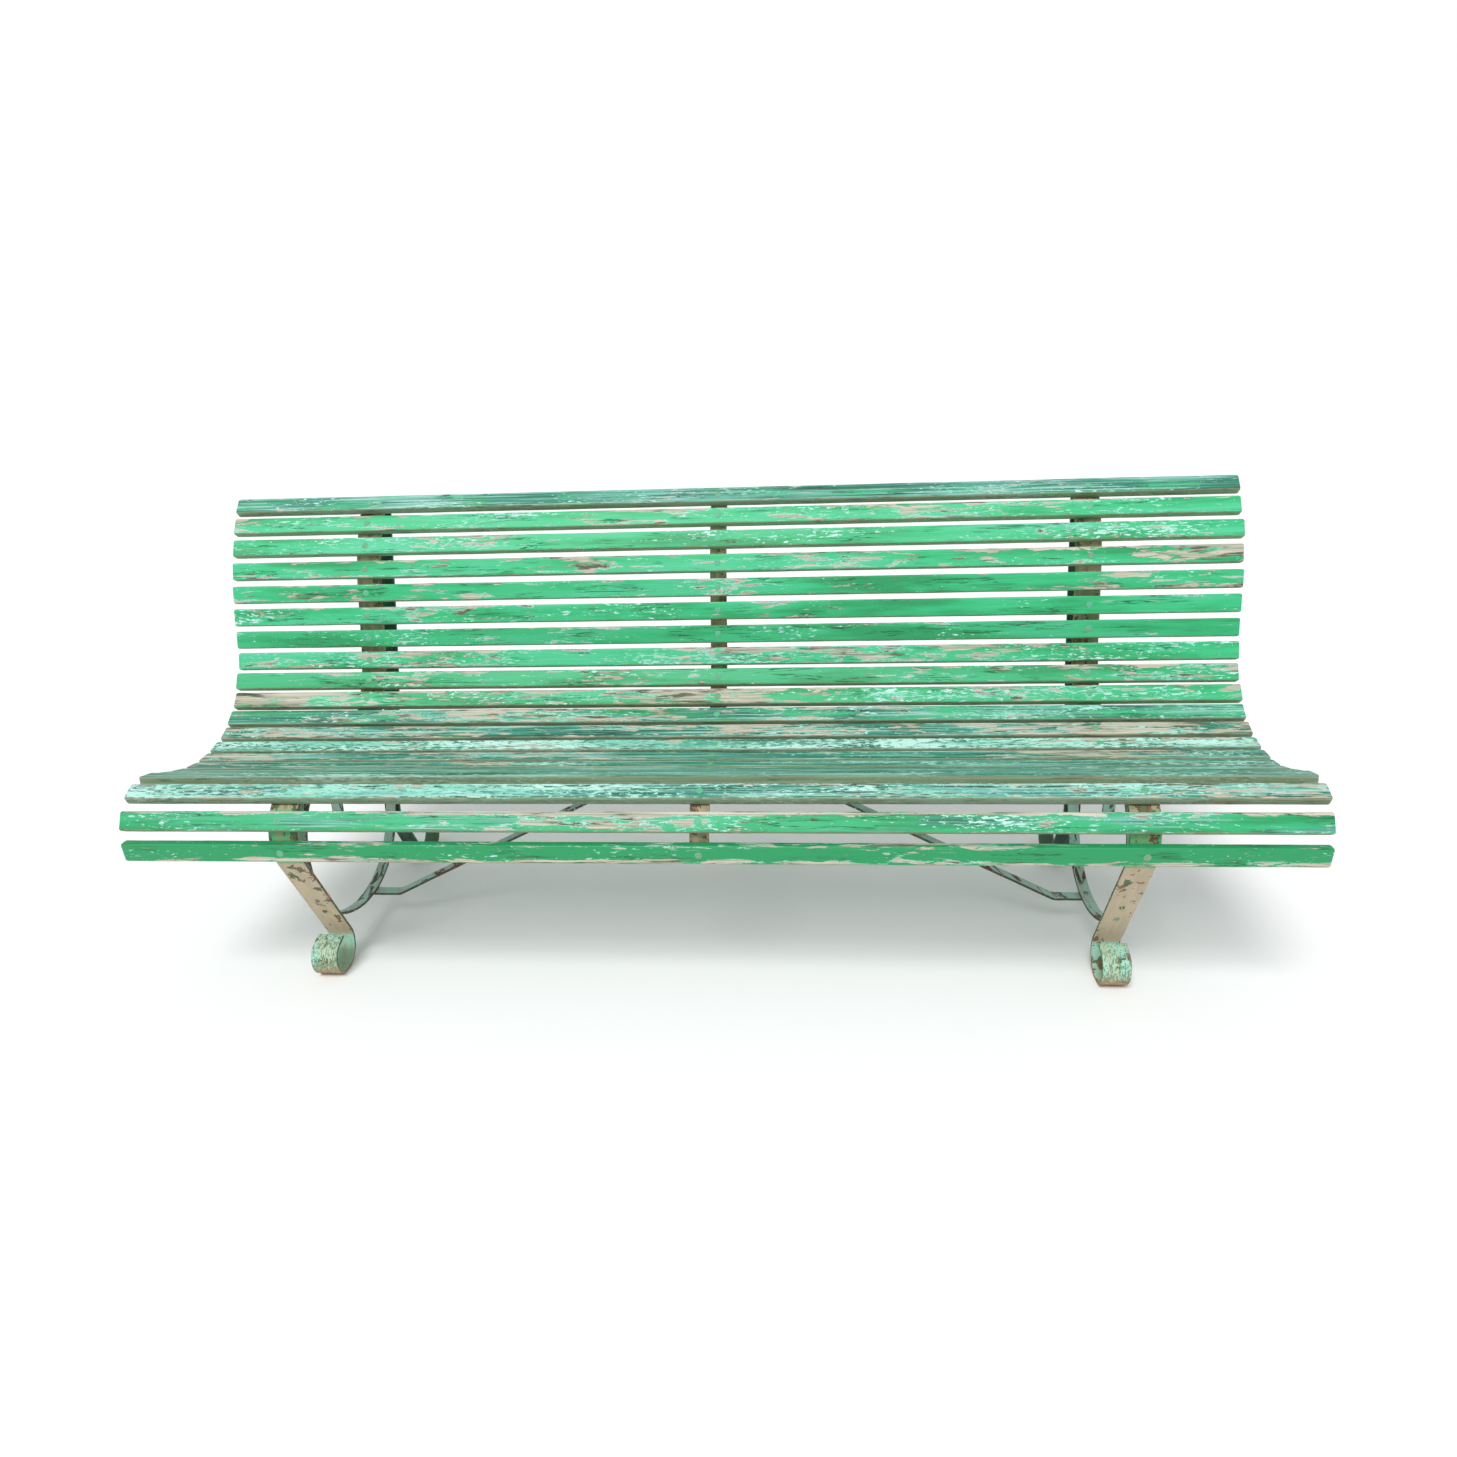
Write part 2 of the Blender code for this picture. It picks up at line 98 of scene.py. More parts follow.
def noiseValue(tree, vector, stretch, detail=4.0, roughness=0.55, distortion=0.0):
    stretched = vectorCalc(tree, "MULTIPLY", vector, stretch)
    return nodeOut(tree, "ShaderNodeTexNoise", {
        "Vector": stretched, "Scale": 1.0, "Detail": detail, "Roughness": roughness,
        "Distortion": distortion})


def between(tree, value, low, high, toLow=0.0, toHigh=1.0):
    inputs = {0: value, 1: low, 2: high, 3: toLow, 4: toHigh}
    return nodeOut(tree, "ShaderNodeMapRange", inputs, interpolation_type="SMOOTHSTEP")


def blend(tree, factor, first, second):
    node = addNode(tree, "ShaderNodeMix", {0: factor, 6: first, 7: second}, data_type="RGBA")
    return node.outputs[2]


def readAttribute(tree, name, output=2):
    return addNode(tree, "ShaderNodeAttribute", attribute_name=name).outputs[output]


def newSockets(tree, direction, sockets):
    for name, kind, value in sockets:
        socket = tree.interface.new_socket(name, in_out=direction, socket_type="NodeSocket" + kind)
        if value is not None:
            socket.default_value = value


def newMaterial(name):
    material = bpy.data.materials.new(name)
    material.use_nodes = True
    shader = material.node_tree.nodes["Principled BSDF"]
    return material, material.node_tree, shader


def addObject(name, data):
    made = bpy.data.objects.new(name, data)
    bpy.context.scene.collection.objects.link(made)
    return made


def bumpNormal(tree, height, distance, strength=1.0):
    inputs = {"Strength": strength, "Distance": distance, "Height": height}
    return nodeOut(tree, "ShaderNodeBump", inputs)


def finishPaint(tree, shader, colour, rough, normal):
    for name, socket in (("Base Color", colour), ("Roughness", rough), ("Normal", normal)):
        tree.links.new(socket, shader.inputs[name])


# where a brittle coat has come off: broad patches with ragged rims
def makeFlakingGroup():
    tree = bpy.data.node_groups.new("flakingPaint", "ShaderNodeTree")
    newSockets(tree, "INPUT", (
        ("Vector", "Vector", None), ("Amount", "Float", 0.3),
        ("Patch Size", "Vector", (14.0, 90.0, 90.0)),
        ("Area Size", "Vector", (2.2, 9.0, 9.0)), ("Rim", "Float", 0.04)))
    newSockets(tree, "OUTPUT", (("Bare", "Float", None), ("Rim", "Float", None)))
    given = addNode(tree, "NodeGroupInput").outputs
    patch = noiseValue(tree, given["Vector"], given["Patch Size"],
                       detail=8.0, roughness=0.66, distortion=0.5)
    area = noiseValue(tree, given["Vector"], given["Area Size"], detail=2.0, roughness=0.5)
    edge, ramp, areaPull = 0.795, 0.01, 0.55
    spread = timesPlus(tree, area, areaPull, -areaPull / 2)
    value = calc(tree, "ADD", calc(tree, "ADD", patch, spread), given["Amount"])
    bare = between(tree, value, edge, edge + ramp)
    inner = calc(tree, "SUBTRACT", edge, given["Rim"])
    outer = calc(tree, "ADD", inner, ramp)
    rim = calc(tree, "SUBTRACT", between(tree, value, inner, outer), bare, clamp=True)
    addNode(tree, "NodeGroupOutput", {"Bare": bare, "Rim": rim})
    return tree


# long wood fibres and the cracks between them
def makeGrainGroup():
    tree = bpy.data.node_groups.new("woodGrain", "ShaderNodeTree")
    newSockets(tree, "INPUT", (("Vector", "Vector", None),))
    newSockets(tree, "OUTPUT", (("Fibre", "Float", None), ("Crack", "Float", None)))
    given = addNode(tree, "NodeGroupInput").outputs
    fibre = noiseValue(tree, given["Vector"], (5.0, 420.0, 420.0),
                       detail=5.0, roughness=0.6, distortion=0.3)
    line = noiseValue(tree, given["Vector"], (4.0, 110.0, 110.0),
                      detail=4.0, roughness=0.6, distortion=0.8)
    where = noiseValue(tree, given["Vector"], (7.0, 40.0, 40.0), detail=2.0)
    ridge = calc(tree, "ABSOLUTE", calc(tree, "SUBTRACT", line, 0.5))
    thin = between(tree, ridge, 0.016, 0.004)
    crack = times(tree, thin, between(tree, where, 0.52, 0.60))
    addNode(tree, "NodeGroupOutput", {"Fibre": fibre, "Crack": crack})
    return tree


flakingPaint = makeFlakingGroup()
woodGrain = makeGrainGroup()


def useGroup(tree, group, inputs):
    return addNode(tree, "ShaderNodeGroup", inputs, node_tree=group).outputs


slatLook = {
    "green": srgb(46, 190, 124), "deepGreen": srgb(30, 152, 92), "paleGreen": srgb(76, 200, 148),
    "aqua": srgb(196, 238, 228), "mint": srgb(132, 212, 188), "paleTeal": srgb(156, 206, 192),
    "teal": srgb(52, 160, 132), "greyTeal": srgb(108, 174, 158), "darkTeal": srgb(40, 96, 80),
    "bareWood": srgb(212, 203, 186), "greyWood": srgb(158, 164, 142),
    # the two olive dirt colours also stand for painted shade on the slats' lower edges and
    # undersides
    "darkWood": srgb(92, 100, 78), "crack": srgb(50, 60, 44), "dirtAndShade": srgb(134, 142, 108),
    "deepDirtAndShade": srgb(88, 98, 70), "roughPaint": 0.50, "roughWood": 0.90, "bumpDepth": 0.0012,
    # how finely each pattern runs along and across the grain
    "cloudScale": (3.0, 26.0, 26.0), "drawnScale": (2.6, 230.0, 230.0),
    "weatherScale": (6.0, 60.0, 60.0), "oldWoodScale": (9.0, 95.0, 95.0),
    "dirtAndShadeScale": (20.0, 160.0, 160.0), "fleckSize": (56.0, 235.0, 235.0),
    "fleckArea": (3.4, 16.0, 16.0),
}

slatShape = {
    "length": 2.200, "width": 0.038, "thickness": 0.018, "edgeRadius": 0.0032,
    "ringsAlong": 170, "endBunching": 1.6, "endRounding": 0.93, "edgeWander": 0.0016,
    "endVariation": 0.0055,
}

# wear: bare wood, flake: pale older paint, faded: grey-teal weathering,
# lean: more wear to the right, deep: a darker green, crown and sole: bare upper and lower edge
slatWear = {
    "usual": {"wear": 0.155, "flake": 0.15, "faded": 0.0, "lean": 0.0, "deep": 0.0,
              "crown": 0.05, "sole": 0.0},
    1: {"wear": 0.12, "flake": 0.17, "faded": 0.52, "deep": 0.2},
    2: {"wear": 0.19, "flake": 0.19, "lean": -0.02},
    3: {"wear": 0.15, "flake": 0.21, "lean": -0.03},
    4: {"wear": 0.20, "flake": 0.12, "crown": 0.09},
    5: {"wear": 0.175, "flake": 0.12, "deep": 0.10, "sole": 0.05},
    6: {"wear": 0.16, "flake": 0.16, "lean": 0.02},
    7: {"flake": 0.13, "deep": 0.35},
    8: {"wear": 0.19, "flake": 0.20},
    9: {"wear": 0.20, "flake": 0.17, "deep": 0.35},
    10: {"wear": 0.30, "flake": 0.19, "lean": -0.05, "deep": 0.2},
    11: {"wear": 0.24, "flake": 0.17, "faded": 0.40, "lean": -0.05, "deep": 0.3},
    12: {"wear": 0.29, "flake": 0.17, "faded": 0.62, "deep": 0.3},
    13: {"wear": 0.17, "flake": 0.32, "faded": 0.50, "deep": 0.2},
    14: {"wear": 0.26, "flake": 0.16, "faded": 0.95, "deep": 0.3},
    15: {"wear": 0.16, "flake": 0.19, "faded": 1.0, "lean": -0.02},
    16: {"wear": 0.14, "flake": 0.17, "faded": 1.05, "lean": -0.03},
    17: {"wear": 0.13, "flake": 0.18, "faded": 1.0, "lean": -0.03},
    18: {"wear": 0.15, "flake": 0.19, "faded": 0.9, "deep": 0.2},
    19: {"wear": 0.19, "flake": 0.24, "faded": 0.80, "lean": 0.05, "deep": 0.3},
    20: {"wear": 0.17, "flake": 0.18, "faded": 0.25, "crown": 0.20, "deep": 0.4},
    21: {"wear": 0.14, "flake": 0.14, "deep": 1.0, "sole": 0.22},
}


def makeSlatPaint(look):
    material, tree, shader = newMaterial("slatPaint")
    grain = readAttribute(tree, "grain", 1)
    values = {name: readAttribute(tree, name) for name in (*slatWear["usual"], "seed")}
    along, across, through = separate(tree, grain)
    shift = combine(tree, *(times(tree, values["seed"], stride) for stride in (7.31, 1.73, 0.91)))
    place = vectorCalc(tree, "ADD", grain, shift)
    fibre = useGroup(tree, woodGrain, {"Vector": place})

    # bare wood shows most along the upper edge
    upper = between(tree, across, 0.008, 0.018)
    lower = between(tree, across, -0.002, -0.014)
    wear = timesPlus(tree, values["lean"], along, values["wear"])
    wear = timesPlus(tree, upper, values["crown"], wear)
    wear = timesPlus(tree, lower, values["sole"], wear)
    wood = useGroup(tree, flakingPaint, {"Vector": place, "Amount": wear, "Rim": 0.028})
    flecks = useGroup(tree, flakingPaint, {
        "Vector": vectorCalc(tree, "ADD", place, (3.7, 0.9, 0.4)),
        "Amount": timesPlus(tree, values["lean"], times(tree, along, -1.0), values["flake"]),
        "Patch Size": look["fleckSize"], "Area Size": look["fleckArea"], "Rim": 0.02})

    # top coat, streaked and weathered
    cloud = noiseValue(tree, place, look["cloudScale"], detail=4.0)
    green = blend(tree, between(tree, cloud, 0.42, 0.70), look["green"], look["paleGreen"])
    brushed = times(tree, between(tree, fibre["Fibre"], 0.40, 0.70), 0.30)
    green = blend(tree, brushed, green, look["deepGreen"])
    deepness = calc(tree, "ADD", between(tree, cloud, 0.50, 0.32), values["deep"], clamp=True)
    green = blend(tree, deepness, green, look["deepGreen"])
    streak = between(tree, fibre["Fibre"], 0.36, 0.64)
    teal = blend(tree, streak, look["darkTeal"], look["teal"])
    teal = blend(tree, between(tree, cloud, 0.45, 0.65), teal, look["greyTeal"])
    drawn = noiseValue(tree, place, look["drawnScale"], detail=6.0, roughness=0.62)
    teal = blend(tree, between(tree, drawn, 0.54, 0.60), teal, look["darkTeal"])
    teal = blend(tree, between(tree, drawn, 0.46, 0.40), teal, look["paleTeal"])
    weathered = noiseValue(tree, place, look["weatherScale"], detail=6.0, roughness=0.6)
    fading = calc(tree, "ADD", weathered, timesPlus(tree, values["faded"], 0.62, -0.60))
    coat = blend(tree, between(tree, fading, 0.0, 0.24), green, teal)
    aqua = blend(tree, between(tree, cloud, 0.40, 0.66), look["aqua"], look["mint"])
    coat = blend(tree, flecks["Bare"], coat, aqua)
    coat = blend(tree, times(tree, flecks["Rim"], 0.35), coat, look["mint"])

    # bare wood under it, with a rim of the older paint
    bareWood = blend(tree, streak, look["greyWood"], look["bareWood"])
    old = noiseValue(tree, place, look["oldWoodScale"], detail=5.0, roughness=0.6)
    bareWood = blend(tree, between(tree, old, 0.53, 0.63), bareWood, look["darkWood"])
    colour = blend(tree, wood["Bare"], coat, bareWood)
    paleRim = times(tree, wood["Rim"], between(tree, cloud, 0.46, 0.56))
    colour = blend(tree, times(tree, paleRim, 0.75), colour, look["aqua"])
    colour = blend(tree, times(tree, fibre["Crack"], 0.85), colour, look["crack"])

    # dirt and painted shade: the lower edge and the underside are darkened with olive colours
    ragged = noiseValue(tree, place, look["dirtAndShadeScale"], detail=5.0)
    foot = timesPlus(tree, ragged, 0.007, times(tree, across, -1.0))
    under = timesPlus(tree, ragged, 0.006, times(tree, through, -1.0))
    undersideDirtAndShade = times(tree, between(tree, under, 0.0080, 0.0098),
                   between(tree, weathered, 0.40, 0.60, 0.15, 0.85))
    dirtAndShadeMask = calc(tree, "MAXIMUM", between(tree, foot, 0.0196, 0.0212), undersideDirtAndShade)
    dirtAndShade = blend(tree, between(tree, ragged, 0.56, 0.70), look["dirtAndShade"], look["deepDirtAndShade"])
    colour = blend(tree, times(tree, dirtAndShadeMask, 0.75), colour, dirtAndShade)

    bare = calc(tree, "MAXIMUM", wood["Bare"], times(tree, fibre["Crack"], 0.9))
    rough = timesPlus(tree, bare, look["roughWood"] - look["roughPaint"], look["roughPaint"])
    rough = timesPlus(tree, dirtAndShadeMask, 0.2, rough, clamp=True)
    height = timesPlus(tree, wood["Bare"], -0.45, 1.0)
    height = timesPlus(tree, flecks["Bare"], -0.16, height)
    height = timesPlus(tree, fibre["Crack"], -0.6, height)
    height = timesPlus(tree, fibre["Fibre"], 0.22, height)
    finishPaint(tree, shader, colour, rough, bumpNormal(tree, height, look["bumpDepth"], 0.7))
    return material


def makeSlatTree(shape):
    tree = bpy.data.node_groups.new("slatBody", "GeometryNodeTree")
    newSockets(tree, "INPUT", (
        ("Geometry", "Geometry", None), ("Left End", "Float", -1.1),
        ("Right End", "Float", 1.1), ("Edge Wander", "Float", 0.001),
        ("Seed", "Float", 0.0), ("Tilt", "Float", 0.0),
        ("Place", "Vector", None), ("Finish", "Material", None),
        *((name.title(), "Float", 0.0) for name in slatWear["usual"])))
    newSockets(tree, "OUTPUT", (("Geometry", "Geometry", None),))
    given = addNode(tree, "NodeGroupInput").outputs

    # a section swept along the slat, with the rings bunched at both ends
    rail = geometryOut(tree, "CurvePrimitiveLine", {"End": (1.0, 0.0, 0.0)})
    rail = geometryOut(tree, "ResampleCurve", {"Curve": rail, "Count": shape["ringsAlong"]})
    factor = addNode(tree, "GeometryNodeSplineParameter").outputs["Factor"]
    railKeep = tree.nodes.new("GeometryNodeCaptureAttribute")
    railKeep.capture_items.new("FLOAT", "Along")
    tree.links.new(rail, railKeep.inputs[0])
    tree.links.new(factor, railKeep.inputs["Along"])
    section = geometryOut(tree, "MeshToCurve", {"Mesh": given["Geometry"]})
    sectionKeep = tree.nodes.new("GeometryNodeCaptureAttribute")
    sectionKeep.capture_items.new("VECTOR", "Section")
    tree.links.new(section, sectionKeep.inputs[0])
    tree.links.new(geometryOut(tree, "InputPosition"), sectionKeep.inputs["Section"])
    body = geometryOut(tree, "CurveToMesh", {
        "Curve": railKeep.outputs[0], "Profile Curve": sectionKeep.outputs[0], "Fill Caps": True})

    signed = timesPlus(tree, railKeep.outputs["Along"], 2.0, -1.0)
    near = calc(tree, "SUBTRACT", 1.0, calc(tree, "ABSOLUTE", signed), clamp=True)
    bunched = calc(tree, "SUBTRACT", 1.0, calc(tree, "POWER", near, shape["endBunching"]))
    signed = times(tree, calc(tree, "SIGN", signed), bunched)
    share = timesPlus(tree, signed, 0.5, 0.5)
    span = calc(tree, "SUBTRACT", given["Right End"], given["Left End"])
    along = timesPlus(tree, share, span, given["Left End"])
    toEnd = calc(tree, "MINIMUM", calc(tree, "SUBTRACT", along, given["Left End"]),
                 calc(tree, "SUBTRACT", given["Right End"], along))
    shrink = between(tree, toEnd, 0.0, 0.003, shape["endRounding"], 1.0)
    sectionX, sectionY, _ = separate(tree, sectionKeep.outputs["Section"])
    clean = combine(tree, along, sectionX, sectionY)
    seeded = vectorCalc(tree, "ADD", vectorCalc(tree, "MULTIPLY", clean, (9.0, 45.0, 45.0)),
                        combine(tree, given["Seed"], given["Seed"], 0.0))
    wander = addNode(tree, "ShaderNodeTexNoise", {
        "Vector": seeded, "Scale": 1.0, "Detail": 3.0}).outputs[1]
    wander = vectorCalc(tree, "SUBTRACT", wander, (0.5, 0.5, 0.5))
    wander = vectorCalc(tree, "MULTIPLY", wander,
                        combine(tree, 0.0, given["Edge Wander"], given["Edge Wander"]))
    shrunk = combine(tree, along, times(tree, sectionX, shrink), times(tree, sectionY, shrink))
    body = geometryOut(tree, "SetPosition", {
        "Geometry": body, "Position": vectorCalc(tree, "ADD", shrunk, wander)})

    # what the paint reads
    body = geometryOut(tree, "StoreNamedAttribute", {
        "Geometry": body, "Name": "grain", "Value": clean}, data_type="FLOAT_VECTOR")
    for name in (*slatWear["usual"], "seed"):
        body = geometryOut(tree, "StoreNamedAttribute", {
            "Geometry": body, "Name": name, "Value": given[name.title()]}, data_type="FLOAT")
    normal = separate(tree, geometryOut(tree, "InputNormal"))[0]
    isSide = nodeOut(tree, "FunctionNodeCompare", {0: calc(tree, "ABSOLUTE", normal), 1: 0.9},
                     operation="LESS_THAN")
    body = geometryOut(tree, "SetShadeSmooth", {"Geometry": body, "Shade Smooth": isSide})
    turn = combine(tree, given["Tilt"], 0.0, 0.0)
    body = geometryOut(tree, "Transform", {
        "Geometry": body, "Translation": given["Place"], "Rotation": turn})
    body = geometryOut(tree, "RealizeInstances", {"Geometry": body})
    body = geometryOut(tree, "SetMaterial", {"Geometry": body, "Material": given["Finish"]})
    tree.links.new(body, addNode(tree, "NodeGroupOutput").inputs[0])
    return tree


# outline of a bar with eased edges; extra points beside each arc keep its flats flat
def roundedSection(width, thickness, radius, arcSteps=4):
    outline = []
    guard = radius * 0.6
    for quarter, (signX, signY) in enumerate(((1, 1), (-1, 1), (-1, -1), (1, -1))):
        centreX = signX * (width / 2 - radius)
        centreY = signY * (thickness / 2 - radius)
        arc = []
        for step in range(arcSteps + 1):
            angle = radians(90 * (quarter + step / arcSteps))
            arc.append((centreX + radius * cos(angle), centreY + radius * sin(angle)))
        first, last = radians(90 * quarter - 90), radians(90 * quarter + 180)
        before = (arc[0][0] + guard * cos(first), arc[0][1] + guard * sin(first))
        after = (arc[-1][0] + guard * cos(last), arc[-1][1] + guard * sin(last))
        outline += [before] + arc + [after]
    return outline


def outlineMesh(name, outline):
    mesh = bpy.data.meshes.new(name)
    count = len(outline)
    mesh.from_pydata([(x, y, 0.0) for x, y in outline],
                     [(i, (i + 1) % count) for i in range(count)], [])
    return mesh


# runs a node tree on a mesh and returns the result as a plain mesh object
def bakeNodes(name, mesh, tree, inputs):
    source = addObject(name + "Source", mesh)
    modifier = source.modifiers.new("build", "NODES")
    modifier.node_group = tree
    identifiers = {item.name: item.identifier for item in tree.interface.items_tree
                   if item.in_out == "INPUT"}
    for label, value in inputs.items():
        modifier[identifiers[label]] = value
    depsgraph = bpy.context.evaluated_depsgraph_get()
    made = bpy.data.meshes.new_from_object(source.evaluated_get(depsgraph))
    made.name = name
    bpy.data.objects.remove(source)
    return finishPiece(name, made)


# turns a mesh outwards if it is inside out, and puts it in the scene
def finishPiece(name, mesh):
    shape = bmesh.new()
    shape.from_mesh(mesh)
    if shape.calc_volume(signed=True) < 0:
        bmesh.ops.reverse_faces(shape, faces=shape.faces)
        shape.to_mesh(mesh)
    shape.free()
    return addObject(name, mesh)


# centre and tilt of a slat, from the largest flat of its own shape
def slatPose(node):
    low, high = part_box(node.name)
    centre = (Vector(low) + Vector(high)) / 2
    widest = max(node.data.polygons, key=lambda face: face.area)
    normal = widest.normal.copy()
    if normal.z - normal.y < 0:
        normal = -normal
    return centre, normal


slatNames = sorted(name for name in cadNodes if name.startswith("slat_") and name[5:].isdigit())


def addSlats():
    paint = makeSlatPaint(slatLook)
    tree = makeSlatTree(slatShape)
    outline = roundedSection(slatShape["width"], slatShape["thickness"], slatShape["edgeRadius"])
    for name in slatNames:
        number = int(name[5:])
        centre, normal = slatPose(cadNodes[name])
        tilt = Vector((0, normal.z, -normal.y)).angle(Vector((0, 1, 0)))
        tilt = tilt if normal.y < 0 else -tilt
        wear = dict(slatWear["usual"], **slatWear.get(number, {}))
        vary = slatShape["endVariation"]
        half = slatShape["length"] / 2
        inputs = {
            "Left End": -half + vary * noise.noise(Vector((number * 1.7, 0.3, 0.0))),
            "Right End": half + vary * noise.noise(Vector((number * 1.7, 9.3, 0.0))),
            "Edge Wander": slatShape["edgeWander"], "Seed": float(number), "Tilt": tilt,
            "Place": tuple(centre), "Finish": paint,
            **{label.title(): value for label, value in wear.items()},
        }
        source = outlineMesh(name + "Outline", outline)
        piece = bakeNodes(f"plank_{number:02d}", source, tree, inputs)
        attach(piece, "root")
        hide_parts(name)
    print("slats made:", len(slatNames))


addSlats()

ironShape = {
    "middleY": 0.3780, "frameX": 0.790, "gap": 0.0003,
    "strap": (0.054, 0.008), "centreStrap": (0.036, 0.007),
    "rearLeg": (0.036, 0.008), "brace": (0.024, 0.006),
    "edgeRadius": 0.0014, "forging": 0.0004, "longestChord": 0.012,
    "endTaper": 0.86, "endRound": 0.0012,
}

# a heading of 0 points to the back of the bench and 90 points up
barPaths = {
    "top": (0.707, 0.860), "topHeading": 221.8,
    "backAndSeat": [("bend", 0.364, 31.8), ("run", 0.133), ("bend", 0.266, -58.5),
                    ("bend", 0.307, -32.7), ("run", 0.072)],
    "roll": [("bend", 0.084, 126.4), ("bend", 0.161, 9.2)],
    "frontFoot": [("bend", 0.046, -118.0), ("run", 0.010), ("bend", 0.033, -163.0),
                  ("run", 0.026)],
    "centreEnd": 1.035, "topRivetAt": 0.040, "rearLap": 0.052,
    "rearUpper": [("run", 0.004), ("bend", 0.020, -149.8), ("run", 0.368), ("bend", 0.300, -6.0),
                  ("run", 0.278)],
    "knee": [("bend", 0.050, 56.0)],
    "rearFoot": [("bend", 0.034, 58.0), ("run", 0.050), ("bend", 0.034, 175.0), ("run", 0.050)],
    "bowLap": 0.032, "bowFrontHeight": 0.127, "bowRearHeight": 0.188,
    "bowLeave": [("bend", 0.030, 28.0)], "bowReach": (0.142, 0.154),
    "scrollLap": 0.033, "scrollLegHeight": 0.191, "scrollSeatAt": 0.790, "scrollFlat": 0.009,
    "scrollReach": (0.095, 0.080), "scrollCurl": [("bend", 0.070, -80.0), ("bend", 0.042, -72.0)],
    "stretcherCornerX": 0.722, "stretcherBend": 0.030, "stretcherLean": 6.0,
    "stretcherFootY": 0.326, "stretcherStrapAt": 0.640, "stretcherTopHalf": 0.100,
}


def unit(heading):
    return Vector((cos(radians(heading)), sin(radians(heading))))


def beside(point, heading, offset):
    return point + offset * Vector((sin(radians(heading)), -cos(radians(heading))))


def moveLength(move):
    return move[1] if move[0] == "run" else move[1] * abs(radians(move[2]))


def pathLength(moves):
    return sum(moveLength(move) for move in moves)


# point and heading at a distance along a chain of runs and bends
def walk(start, heading, moves, distance):
    point = Vector(start)
    for move in moves:
        part = min(distance, moveLength(move))
        if move[0] == "run":
            point = point + part * unit(heading)
        else:
            side = -1 if move[2] < 0 else 1
            centre = beside(point, heading, -side * move[1])
            heading += move[2] * part / moveLength(move)
            point = beside(centre, heading, side * move[1])
        distance -= part
        if distance <= 0:
            break
    return point, heading


def trace(start, heading, moves, finest=3.0):
    points = [Vector(start)]
    done = 0.0
    for move in moves:
        length = moveLength(move)
        chords = ceil(length / ironShape["longestChord"])
        if move[0] == "bend":
            chords = max(chords, ceil(abs(move[2]) / finest))
        points += [walk(start, heading, moves, done + length * i / chords)[0]
                   for i in range(1, chords + 1)]
        done += length
    return points


def straight(start, end):
    chords = ceil((end - start).length / ironShape["longestChord"])
    return [start.lerp(end, i / chords) for i in range(chords + 1)]


def sweepBetween(start, heading, end, endHeading, reach, chords=40):
    handles = (start, start + reach[0] * unit(heading), end - reach[1] * unit(endHeading), end)
    points = []
    for i in range(chords + 1):
        t = i / chords
        weights = ((1 - t) ** 3, 3 * t * (1 - t) ** 2, 3 * t * t * (1 - t), t ** 3)
        points.append(sum((w * h for w, h in zip(weights, handles)), Vector((0.0, 0.0))))
    return points


def lapOffset(first, second):
    return (ironShape[first][1] + ironShape[second][1]) / 2 + ironShape["gap"]


def stackMiddle(second):
    return (ironShape[second][1] + ironShape["gap"]) / 2


def runToGround(point, heading, foot, thickness):
    landed = walk((0.0, 0.0), heading, foot[:1], moveLength(foot[0]))[0]
    return (thickness / 2 - landed[1] - point[1]) / sin(radians(heading))


def atHeight(point, heading, height):
    return point + unit(heading) * (height - point[1]) / sin(radians(heading))


